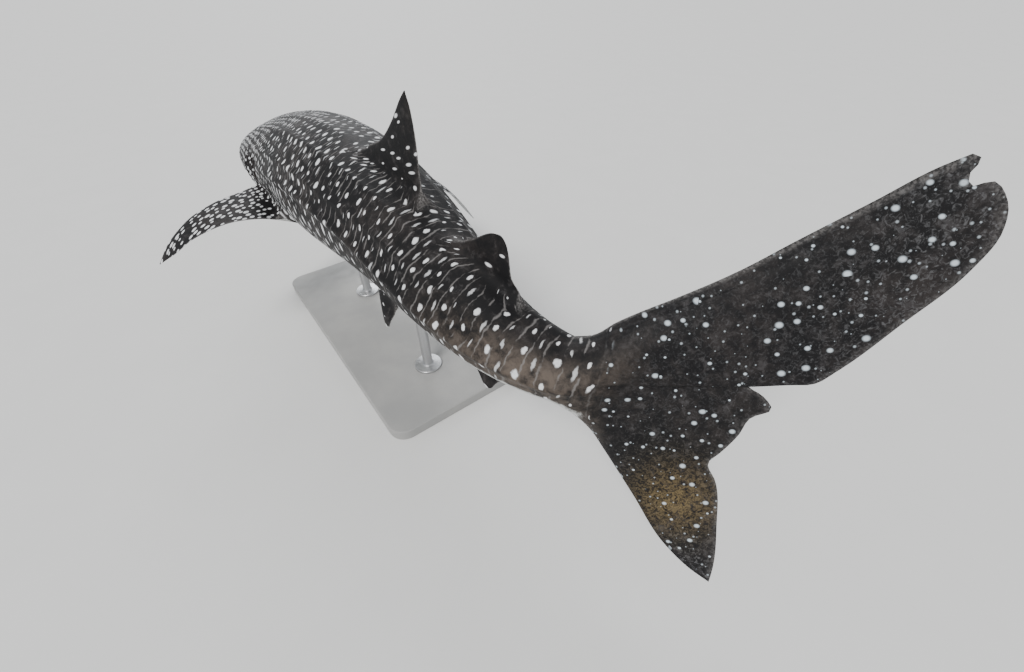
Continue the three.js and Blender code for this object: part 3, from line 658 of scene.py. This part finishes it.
def patch_ring(ni, nj):
    """Steps round a patch of ni by nj cells: its ring and girth steps, chord share and thickness share."""
    side, end = np.arange(ni), np.arange(nj)
    along_i = np.concatenate([side, np.full(nj, ni), ni - side, np.zeros(nj, int)])
    along_j = np.concatenate([np.zeros(ni, int), end, np.full(ni, nj), nj - end])
    x, y = along_i / ni, 2 * along_j / nj - 1
    blunt = np.sqrt(np.clip(1 - y ** 2, 0, 1)) * (TRAIL_ROUND * (x == 1) - LEAD_ROUND * (x == 0))
    return along_i, along_j, LEAD_ROUND + (1 - LEAD_ROUND - TRAIL_ROUND) * x + blunt, y


# Vertices of the whole skin, with their marks side by side; the fins' follow the grid's
grid_index = np.arange(grid_rings * GIRTH_COUNT).reshape(grid_rings, GIRTH_COUNT)
vertices = [grid.reshape(-1, 3)]
vertex_marks = {name: [values.ravel()] for name, values in marks.items()}
kept_cells = np.ones((grid_rings - 1, GIRTH_COUNT), bool)
fin_faces, fin_face_cells = [], []
# A fin's rings go round the other way than the body's do, so its faces take their corners backwards
OUTWARD = (0, 3, 2, 1)


def ring_quads(rings, corner_order=(0, 1, 2, 3)):
    """Corners of the faces between rings: a ring's point, the next ring's two and the point after it."""
    a, b = rings[:-1], rings[1:]
    corners = (a, b, np.roll(b, -1, 1), np.roll(a, -1, 1))
    return np.stack([corners[k] for k in corner_order], 2)


def grow_fin(fin, locate, side=0):
    """A fin on a patch of the body. The first rings follow the parabola from the patch's border through
    the root ring to the fin; the tip is closed by a grid between the two sides of the last ring."""
    kind, cell, stations = fin["kind"], fin["cell"], fin["stations"]
    degrees = [180 - angle for angle in reversed(fin["degrees"])] if side < 0 else fin["degrees"]
    i0, i1 = (LIP_RINGS + int(np.argmin(np.abs(body_stations - s))) for s in stations)
    j0, j1 = (girth_column(d) for d in degrees)
    ni, nj = i1 - i0, (j1 - j0) % GIRTH_COUNT
    step_i, step_j, chord_share, thick_share = patch_ring(ni, nj)
    ring_size = len(step_i)
    on_border = (i0 + step_i, (j0 + step_j) % GIRTH_COUNT)
    kept_cells[i0:i1, (j0 + np.arange(nj)) % GIRTH_COUNT] = False
    tip_outs = TIP_START + (1 - TIP_START) * TIP_SHARES
    outs = np.concatenate([[fin["root"]], np.linspace(fin["fillet"], TIP_START, fin["rings"]), tip_outs])
    points, reach, chord_length = fin_rings(fin, locate, outs, chord_share, thick_share)
    # Behind the fin the fillet rises straight from the border, because the fin's rear tip overhangs
    start = grid[on_border]
    rear = smooth_step(*REAR_FILLET_FADE, chord_share)[:, None]
    root_ring = start + (points[0] - start) * (1 - REAR_FILLET_EASE * rear)
    t = (np.arange(1, FILLET_RINGS + 1) / FILLET_RINGS)[:, None, None]
    rise = (1 - t) ** 2 * start + 2 * t * (1 - t) * root_ring + t ** 2 * points[1]
    body = np.concatenate([rise, points[2:]])
    # The tip's inner vertices lie between the two long sides of the last ring
    last, i, j = body[-1], np.arange(ni + 1), np.arange(nj + 1)
    sides = last[i][:, None], last[(2 * ni + nj - i) % ring_size][:, None]
    ends = last[(2 * ni + 2 * nj - j) % ring_size][None], last[ni + j][None]
    cap = coons_patch(*ends, *sides, (j / nj)[None, :, None], (i / ni)[:, None, None])
    cap = cap[1:-1, 1:-1].reshape(-1, 3)
    first_new = sum(map(len, vertices))
    ring_index = first_new + np.arange(len(body) * ring_size).reshape(-1, ring_size)
    cap_index = np.zeros((ni + 1, nj + 1), int)
    cap_index[1:-1, 1:-1] = first_new + ring_index.size + np.arange(len(cap)).reshape(ni - 1, nj - 1)
    cap_index[step_i, step_j] = ring_index[-1]
    vertices.extend([body.reshape(-1, 3), cap])
    # Pattern: the body's cells run on inwards over the fillet, and the fin's own follow its chord and span
    away = path_length(np.concatenate([start[None], body]))
    inward = np.stack([(step_i == 0) * 1.0 - (step_i == ni), (step_j == 0) * 1.0 - (step_j == nj)], -1)
    inward /= [smooth(ROW_STATIONS, spacing, np.mean(stations)) for spacing in (ROW_SPACING, SPOT_STEP)]
    body_cells = cells[on_border][:, :2] + away[..., None] * inward
    full_reach = np.concatenate([np.linspace(-reach[1], reach[1], FILLET_RINGS + 1), reach[2:]])
    full_chord = np.concatenate([np.full(FILLET_RINGS + 1, chord_length[1]), chord_length[2:]])
    shift = FIN_CELL_SHIFT + FIN_CELL_SHIFT_BY_STATION * stations[0]
    shift = shift + np.where(thick_share < 0, 0, FAR_SIDE_SHIFT)
    own_cells = np.stack([full_chord[:, None] * chord_share / cell[0] + shift,
                          full_reach[:, None] / cell[1] + 0 * away], -1)
    all_cells = np.concatenate([body_cells, own_cells], -1)
    all_index = np.concatenate([grid_index[on_border][None], ring_index])
    cap_quads = np.stack([cap_index[:-1, :-1], cap_index[1:, :-1], cap_index[1:, 1:], cap_index[:-1, 1:]], -1)
    fin_faces.extend([ring_quads(all_index, OUTWARD).reshape(-1, 4), cap_quads.reshape(-1, 4)])
    fin_face_cells.extend([ring_quads(all_cells, OUTWARD).reshape(-1, 4, 4),
                           np.broadcast_to(all_cells[-1, 0], (ni * nj, 4, 4))])
    # Marks: from the body's at the border to the fin's own over the fillet
    weight = np.concatenate([smooth_step(0, 1, t[:, 0]), np.ones((len(body) - FILLET_RINGS, 1))])
    # Rim at the leading and trailing edges: pale edge with a painted highlight
    edge = np.maximum(1 - smooth_step(*LEAD_RIM, chord_share), smooth_step(*TRAIL_RIM, chord_share))
    under = np.where(side * thick_share < 0, fin["pale"], 0.0)
    wanted, wanted_on_tip = {kind: 1.0, "rim_and_highlight": edge, "pale": under}, {kind: 1.0, "rim_and_highlight": 1.0}
    for name, parts in vertex_marks.items():
        values = marks[name][on_border] * (1 - weight) + wanted.get(name, 0.0) * weight
        parts.extend([values.ravel(), np.full(len(cap), wanted_on_tip.get(name, 0.0))])


for median_fin in (FIRST_DORSAL, SECOND_DORSAL, ANAL):
    grow_fin(median_fin, on_median)
for side in (1, -1):
    grow_fin(PELVIC, on_side(side), side)
for side, droop in ((1, 0.0), (-1, RIGHT_PECTORAL_DROOP)):
    grow_fin(PECTORAL, on_pectoral(side, droop), side)

# Skin mesh: one closed hide over head, trunk, fins and tail. It is the grid's faces less the fins'
# patches, the fins' faces, and the strips that close the mouth and the tail's trailing edge, which
# read one place of the pattern.
TRAILING_CELL = 60.5


def zipped(first, second):
    """Faces across a slit between two sides that share their end vertices: quads and two end triangles."""
    quads = np.stack([first[1:-2], first[2:-1], second[2:-1], second[1:-2]], -1)
    return quads, [[first[0], first[1], second[1]], [first[-1], second[-2], first[-2]]]


mouth_top, mouth_foot = np.arange(HALF + 1), -np.arange(HALF + 1) % GIRTH_COUNT
mouth_quads, mouth_ends = zipped(grid_index[0, mouth_top], grid_index[0, mouth_foot])
trail_quads, trail_ends = zipped(grid_index[-1, left_side], grid_index[-1, right_side])
quads = np.concatenate([ring_quads(grid_index)[kept_cells], *fin_faces, mouth_quads, trail_quads])
triangles = np.array(mouth_ends + trail_ends)
grid_cells = ring_quads(cells)[kept_cells]
# Where the count of spots jumps at the belly's middle line, a face takes its first corner's
jump = np.ptp(grid_cells[..., 1], axis=1) > 5
grid_cells[jump] = grid_cells[jump][:, :1]
corner_cells = np.concatenate([grid_cells, *fin_face_cells, np.zeros((len(mouth_quads), 4, 4)),
                               np.full((len(trail_quads), 4, 4), TRAILING_CELL)]).reshape(-1, 4)
corner_cells = np.concatenate([corner_cells, np.zeros((triangles.size, 4))])
# The vertices inside the fins' patches are left out
all_vertices = np.concatenate(vertices)
used = np.zeros(len(all_vertices), bool)
used[quads], used[triangles] = True, True
new_number = np.cumsum(used) - 1
skin_mesh = bpy.data.meshes.new("skin")
skin_mesh.from_pydata(all_vertices[used].tolist(), [],
                      new_number[quads].tolist() + new_number[triangles].tolist())
for name, parts in vertex_marks.items():
    mark = skin_mesh.attributes.new(name, "FLOAT", "POINT")
    mark.data.foreach_set("value", np.concatenate(parts)[used].astype(np.float32))
for name, columns in (("cells", slice(0, 2)), ("fin_cells", slice(2, 4))):
    flat_cells = np.pad(corner_cells[:, columns], ((0, 0), (0, 1))).astype(np.float32)
    skin_mesh.attributes.new(name, "FLOAT_VECTOR", "CORNER").data.foreach_set("vector", flat_cells.ravel())
skin_mesh.shade_smooth()
skin = add_object("skin", skin_mesh)

# Skin finish: near-black charcoal brown with cloudy mottling, white spots in rows across the body with
# thin wavy pale bars between them, a white belly, and a matt, finely grained surface.
DARK_SKIN, BROWN_SKIN, GREY_SKIN = (0.0040, 0.0037, 0.0044), (0.022, 0.018, 0.017), (0.050, 0.048, 0.050)
WARM_SKIN, AMBER_SKIN, GRAIN_GREY = (0.105, 0.083, 0.067), (0.150, 0.108, 0.048), (0.130, 0.130, 0.135)
SPOT_WHITE, SPOT_GREY, TAIL_SPOT = (0.76, 0.77, 0.78), (0.56, 0.56, 0.57), (0.58, 0.65, 0.70)
BELLY_WHITE, BELLY_GREY = (0.62, 0.63, 0.62), (0.50, 0.50, 0.49)
BAR_PALE, SHADE_BLACK = (0.20, 0.19, 0.185), (0.003, 0.0025, 0.003)
# How far the pattern wanders and how ragged its outlines are, in rows and spots
SWAY, RAGGED = (0.60, 0.45, 0.0), (0.11, 0.12, 0.0)
BAR_SHIFT, BAR_WIDTH, BAR_STRENGTH = 0.34, 0.11, 0.60
# Spots: half width and half length in cells, jitter, change of size, share missing and softness
DASH = (0.038, 0.20, 0.30, 0.9, 0.22, 0.45)
PECTORAL_SPOT = (0.25, 0.27, 0.62, 0.6, 0.06, 0.20)
TAIL_DOT = (0.110, 0.095, 0.95, 1.0, 0.48, 0.50)
TAIL_SPECK = (0.075, 0.075, 1.0, 1.2, 0.60, 0.7)
DORSAL_SPOT = (0.150, 0.090, 0.85, 0.9, 0.34, 0.40)


def math_node(tree, operation, *values, clamp=False):
    """The result of a Math node on up to three values or sockets."""
    made = node(tree, "ShaderNodeMath", dict(enumerate(values)), operation=operation, use_clamp=clamp)
    return made.outputs[0]


def product(tree, *factors):
    """All the factors multiplied together."""
    return reduce(partial(math_node, tree, "MULTIPLY"), factors)


def vector_node(tree, operation, *values):
    """The vector that a Vector Math node makes of its values."""
    return node(tree, "ShaderNodeVectorMath", dict(enumerate(values)), operation=operation).outputs[0]


def ramp_value(tree, value, low, high, start=0.0, end=1.0):
    """A smooth step: start below low, end above high."""
    inputs = {"Value": value, "From Min": low, "From Max": high, "To Min": start, "To Max": end}
    return node(tree, "ShaderNodeMapRange", inputs, interpolation_type="SMOOTHSTEP").outputs[0]


def bump(tree, height, strength, distance):
    """The normal of a surface with this height on it, its distance in metres."""
    inputs = {"Height": height, "Strength": strength, "Distance": distance}
    return node(tree, "ShaderNodeBump", inputs).outputs[0]


def attribute(tree, name, output="Fac"):
    """The value of one of the mesh's own attributes."""
    return node(tree, "ShaderNodeAttribute", {}, attribute_name=name).outputs[output]


def spot_group():
    """Spots on a jittered lattice: 1 inside an ellipse about each cell's point, of a size drawn by cell."""
    tree = bpy.data.node_groups.new("spots", "ShaderNodeTree")
    tree.interface.new_socket("Cells", in_out="INPUT", socket_type="NodeSocketVector")
    for name in ("Half Width", "Half Length", "Jitter", "Size Change", "Missing", "Soft"):
        tree.interface.new_socket(name, in_out="INPUT", socket_type="NodeSocketFloat")
    tree.interface.new_socket("Mask", in_out="OUTPUT", socket_type="NodeSocketFloat")
    calc = partial(math_node, tree)
    given = node(tree, "NodeGroupInput", {}).outputs
    inputs = {"Vector": given["Cells"], "Scale": 1.0, "Randomness": given["Jitter"]}
    voronoi = node(tree, "ShaderNodeTexVoronoi", inputs, voronoi_dimensions="2D").outputs
    away = vector_node(tree, "SUBTRACT", given["Cells"], voronoi["Position"])
    away = node(tree, "ShaderNodeSeparateXYZ", {0: away}).outputs
    draws = node(tree, "ShaderNodeSeparateColor", {0: voronoi["Color"]}).outputs
    grown = calc("MULTIPLY_ADD", calc("SUBTRACT", draws[0], 0.5), given["Size Change"], 1.0)
    x = calc("DIVIDE", away[0], calc("MULTIPLY", given["Half Width"], grown))
    y = calc("DIVIDE", away[1], calc("MULTIPLY", given["Half Length"], grown))
    radius = calc("SQRT", calc("ADD", calc("MULTIPLY", x, x), calc("MULTIPLY", y, y)))
    inside = ramp_value(tree, radius, calc("SUBTRACT", 1.0, given["Soft"]),
                        calc("ADD", 1.0, given["Soft"]), 1.0, 0.0)
    mask = calc("MULTIPLY", inside, calc("GREATER_THAN", draws[1], given["Missing"]))
    node(tree, "NodeGroupOutput", {"Mask": mask})
    return tree


def spots(tree, spot_tree, cell, *values):
    """The mask of a spot group with its own values, in the order of its sockets."""
    return node(tree, "ShaderNodeGroup", dict(enumerate((cell, *values))), node_tree=spot_tree).outputs[0]


def skin_material():
    """Colour: mottled near-black skin, bars, spots of body and fins, pale belly and painted shade in creases,
    in that order.
    """
    material, tree, place_on = new_material("whale_shark_skin")
    calc, times, ramp, mix = (partial(made, tree) for made in (math_node, product, ramp_value, mixed))
    vector, speckle = partial(vector_node, tree), partial(noise, tree)
    spotted = partial(spots, tree, spot_group())
    mark = {name: attribute(tree, name) for name in MARKS}
    cell, fin_cell = attribute(tree, "cells", "Vector"), attribute(tree, "fin_cells", "Vector")
    on_caudal = ramp(mark["caudal"], 0.16, 0.30)
    on_pectoral, on_median = (ramp(mark[name], 0.42, 0.58) for name in ("pectoral", "median"))
    on_body = calc("SUBTRACT", 1.0, calc("ADD", calc("ADD", on_caudal, on_pectoral), on_median, clamp=True))
    # Mottled skin, warm low on the stalk, grained with grey on the tail and amber on its lower lobe
    cloud, blotch = speckle(place_on, 2.2, 5.0, 0.6), speckle(place_on, 14.0, 5.0, 0.7, 0.4)
    fine, grain = speckle(place_on, 70.0, 3.0, 0.6), speckle(place_on, 42.0, 4.0, 0.7, 1.2)
    tone = calc("ADD", times(cloud, 0.5), times(blotch, 0.5))
    colour = mix(ramp(tone, 0.44, 0.64), DARK_SKIN, BROWN_SKIN)
    colour = mix(times(ramp(blotch, 0.53, 0.72), 0.6), colour, GREY_SKIN)
    colour = mix(times(mark["warm"], ramp(tone, 0.36, 0.60)), colour, WARM_SKIN)
    greyness = calc("ADD", times(mark["caudal"], 0.26), times(mark["grey"], 0.55))
    colour = mix(times(ramp(grain, 0.48, 0.70), greyness), colour, GRAIN_GREY)
    colour = mix(times(mark["amber"], ramp(grain, 0.38, 0.62)), colour, AMBER_SKIN)
    # The pattern's rows wander a little and its outlines are ragged
    wavy = cell
    for scale, reach in ((3.2, SWAY), (32.0, RAGGED)):
        centred = vector("ADD", speckle(place_on, scale, 2.0, 0.5, output="Color"), (-0.5, -0.5, -0.5))
        wavy = vector("ADD", wavy, vector("MULTIPLY", centred, reach))
    # Thin pale bars, broken up: one on each side of every row of spots
    row = node(tree, "ShaderNodeSeparateXYZ", {0: wavy}).outputs[0]
    half_rows = calc("SUBTRACT", times(row, 2.0), BAR_SHIFT)
    from_bar = calc("ABSOLUTE", calc("SUBTRACT", calc("FRACT", half_rows), 0.5))
    broken = speckle(place_on, 7.0, 3.0, 0.65)
    bar_width = times(ramp(broken, 0.38, 0.70), BAR_WIDTH)
    line = calc("SUBTRACT", 1.0, ramp(from_bar, times(bar_width, 0.2), calc("ADD", bar_width, 0.04)))
    bars = times(line, ramp(broken, 0.38, 0.56), ramp(mark["caudal"], 0.0, 0.25, 1.0, 0.0), on_body,
                 ramp(row, 14.0, 32.0, 0.20, 1.0), BAR_STRENGTH)
    colour = mix(bars, colour, BAR_PALE)
    # Spots: rows on the body, large on the head, with rows of thin dashes between them, ovals on the
    # pectorals, sparse dots on the tail and the other fins
    larger = ramp(row, 6.0, 26.0, 1.28, 1.0)
    half_width = times(ramp(row, 8.0, 60.0, 0.185, 0.060), larger)
    half_length = times(ramp(mark["streak"], 0.0, 1.0, 0.24, 0.44), ramp(row, 12.0, 62.0, 1.0, 0.62), larger)
    row_spots = spotted(vector("ADD", wavy, (0.5, 0.0, 0.0)), half_width, half_length, 0.32, 0.6, 0.08, 0.30)
    dashes = times(spotted(vector("ADD", wavy, (0.0, 0.37, 0.0)), *DASH), 0.62)
    specks = spotted(vector("MULTIPLY", fin_cell, (1.9, 1.9, 1.0)), *TAIL_SPECK)
    every_spot = reduce(partial(calc, "MAXIMUM"), (
        times(calc("MAXIMUM", row_spots, dashes), on_body),
        times(spotted(fin_cell, *PECTORAL_SPOT), on_pectoral),
        times(spotted(fin_cell, *TAIL_DOT), on_caudal, 0.92), times(specks, on_caudal, 0.55),
        times(spotted(fin_cell, *DORSAL_SPOT), on_median)))
    spot_colour = mix(ramp(fine, 0.35, 0.7, 0.0, 0.5), SPOT_WHITE, SPOT_GREY)
    colour = mix(every_spot, colour, mix(on_caudal, spot_colour, TAIL_SPOT))
    # The belly's edge is ragged, the fins' rims are pale with a painted highlight, and painted shade darkens
    # the creases
    belly_edge = calc("ADD", mark["pale"], times(calc("SUBTRACT", blotch, 0.5), 1.1))
    colour = mix(ramp(belly_edge, 0.38, 0.78), colour, mix(ramp(cloud, 0.4, 0.7), BELLY_WHITE, BELLY_GREY))
    colour = mix(times(mark["rim_and_highlight"], ramp(fine, 0.40, 0.62, 0.15, 0.75)), colour, BAR_PALE)
    colour = mix(times(mark["painted_shade"], 0.94), colour, SHADE_BLACK)
    height = calc("ADD", times(speckle(place_on, 260.0, 3.0), 0.35), times(blotch, 0.65))
    shade(tree, {"Base Color": colour, "Roughness": calc("ADD", 0.55, times(fine, 0.18)),
                 "Specular IOR Level": 0.22, "Normal": bump(tree, height, 0.30, 0.006)})
    return material


skin_mesh.materials.append(skin_material())
FLESH = ["head", "gill_region", "trunk_front", "trunk_middle", "trunk_rear", "tail_stalk", "first_dorsal_fin",
         "second_dorsal_fin", "anal_fin", "pectoral_fin_left", "pectoral_fin_right", "pelvic_fin_left",
         "pelvic_fin_right", "caudal_upper_lobe", "caudal_lower_lobe"]
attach(skin, "root")
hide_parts(*FLESH)

# Eyeballs: a ball of dark glass on each side, with a grey-brown iris ring and a slight bulge in front.
# It is turned about its own outward axis and sits in the round lid of the skin.
PUPIL_BLACK, EYE_RIM = (0.003, 0.003, 0.004), (0.010, 0.010, 0.011)
IRIS_DARK, IRIS_PALE = (0.020, 0.017, 0.014), (0.075, 0.064, 0.052)
BALL_SHARE, BULGE, BULGE_REACH, IRIS_REACH = 0.985, 0.03, 0.4, 0.95
BALL_RINGS, BALL_TURNS = 33, 48


def eyeball_material():
    """Iris colour by the attribute that counts from the middle of the pupil outwards."""
    material, tree, place_on = new_material("eye_gloss")
    away = attribute(tree, "from_pupil")
    iris = mixed(tree, noise(tree, place_on, 160.0, 3.0), IRIS_DARK, IRIS_PALE)
    colour = mixed(tree, ramp_value(tree, away, 0.42, 0.50), PUPIL_BLACK, iris)
    colour = mixed(tree, ramp_value(tree, away, 0.80, 0.95), colour, EYE_RIM)
    shade(tree, {"Base Color": colour, "Roughness": 0.10, "Specular IOR Level": 0.6})
    return material


def turned_object(name, points, material):
    """An object from a grid of points that run from pole to pole and go round, with each pole's points
    merged and the faces turned outwards."""
    index = np.arange(points[..., 0].size).reshape(points.shape[:2])
    faces = ring_quads(index, OUTWARD).reshape(-1, 4)
    mesh = bpy.data.meshes.new(name)
    mesh.from_pydata(points.reshape(-1, 3).tolist(), [], faces.tolist())
    work = bmesh.new()
    work.from_mesh(mesh)
    bmesh.ops.remove_doubles(work, verts=work.verts, dist=1e-6)
    bmesh.ops.recalc_face_normals(work, faces=work.faces)
    work.to_mesh(mesh)
    work.free()
    mesh.shade_smooth()
    mesh.materials.append(material)
    return add_object(name, mesh)


eye_finish = eyeball_material()
polar = np.linspace(0, np.pi, BALL_RINGS)[:, None, None]
turn = np.linspace(0, 2 * np.pi, BALL_TURNS, endpoint=False)[None, :, None]
for eye_name, (eye_place, eye_radius, outward) in eyes.items():
    side_way = np.cross(outward, [0, 0, 1.0])
    side_way /= np.linalg.norm(side_way)
    high_way = np.cross(side_way, outward)
    ball_radius = eye_radius * BALL_SHARE * (1 + BULGE * bell(polar, BULGE_REACH))
    round_way = np.cos(turn) * side_way + np.sin(turn) * high_way
    ball = ball_radius * (np.cos(polar) * outward + np.sin(polar) * round_way)
    eyeball = turned_object(eye_name + "_ball", eye_place + ball, eye_finish)
    places = np.zeros(len(eyeball.data.vertices) * 3)
    eyeball.data.vertices.foreach_get("co", places)
    facing = ((places.reshape(-1, 3) - eye_place) @ outward) / eye_radius
    from_pupil = eyeball.data.attributes.new("from_pupil", "FLOAT", "POINT")
    from_pupil.data.foreach_set("value", (np.arccos(np.clip(facing, -1, 1)) / IRIS_REACH).astype(np.float32))
    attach(eyeball, "root")
    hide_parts(eye_name)

# Display base: a plain flat steel box with softly broken edges, painted a warm pale grey. It keeps its
# CAD shape, stands on the floor and carries the two rods.
PAINT_DARK, PAINT_PALE = (0.30, 0.30, 0.295), (0.36, 0.355, 0.345)


def painted_plate():
    """Satin paint with a faint orange-peel grain and slight dust in broad patches."""
    material, tree, place_on = new_material("stand_paint")
    dust = ramp_value(tree, noise(tree, place_on, 1.8, 5.0), 0.35, 0.75)
    rough = ramp_value(tree, noise(tree, place_on, 9.0, 4.0), 0.3, 0.7, 0.38, 0.52)
    peel = bump(tree, noise(tree, place_on, 220.0, 2.0), 0.12, 0.001)
    shade(tree, {"Base Color": mixed(tree, dust, PAINT_DARK, PAINT_PALE), "Roughness": rough, "Normal": peel})
    return material


base_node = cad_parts["stand_base"]
base_node.data.materials.clear()
base_node.data.materials.append(painted_plate())

# Rods: turned steel posts with a foot flange and a wider cup that meets the belly. The outline is
# [radius, height] in metres, from the foot up to the shaft and on below the top.
ROD_FOOT = [(0, 0), (0.148, 0), (0.150, 0.002), (0.150, 0.024), (0.146, 0.028), (0.070, 0.028),
            (0.058, 0.034), (0.052, 0.046)]
ROD_CUP = [(0.052, -0.185), (0.056, -0.173), (0.088, -0.105), (0.092, -0.095), (0.092, -0.004), (0, -0.004)]
ROD_TURNS, EDGE_WIDTH = 96, 0.0012
STEEL_DARK, STEEL_PALE = (0.50, 0.51, 0.52), (0.62, 0.62, 0.63)


def brushed_metal():
    """Steel with fine brushing round the rod: noise squeezed along its height."""
    material, tree, place_on = new_material("stand_steel")
    squeezed = node(tree, "ShaderNodeMapping", {"Vector": place_on, "Scale": (2.0, 2.0, 60.0)}).outputs[0]
    brushing = noise(tree, squeezed, 12.0, 4.0, 0.7)
    shade(tree, {"Base Color": mixed(tree, brushing, STEEL_DARK, STEEL_PALE), "Metallic": 1.0,
                 "Roughness": ramp_value(tree, brushing, 0.25, 0.75, 0.26, 0.42),
                 "Normal": bump(tree, brushing, 0.10, 0.0006)})
    return material


steel = brushed_metal()
turn = np.linspace(0, 2 * np.pi, ROD_TURNS, endpoint=False)[None, :]
for rod_name in ("stand_rod_front", "stand_rod_rear"):
    low, high = (np.array(corner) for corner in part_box(rod_name))
    centre = (low + high) / 2
    outline = np.concatenate([np.array(ROD_FOOT) + (0, low[2]), np.array(ROD_CUP) + (0, high[2])])
    radius, level = outline[:, :1], outline[:, 1:]
    rod_points = np.stack([centre[0] + radius * np.cos(turn), centre[1] + radius * np.sin(turn),
                           level + 0 * turn], -1)
    rod = turned_object(rod_name + "_turned", rod_points, steel)
    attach(rod, "root")
    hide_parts(rod_name)
    bevel = rod.modifiers.new("edges", "BEVEL")
    bevel.width, bevel.segments, bevel.limit_method = EDGE_WIDTH, 2, "ANGLE"
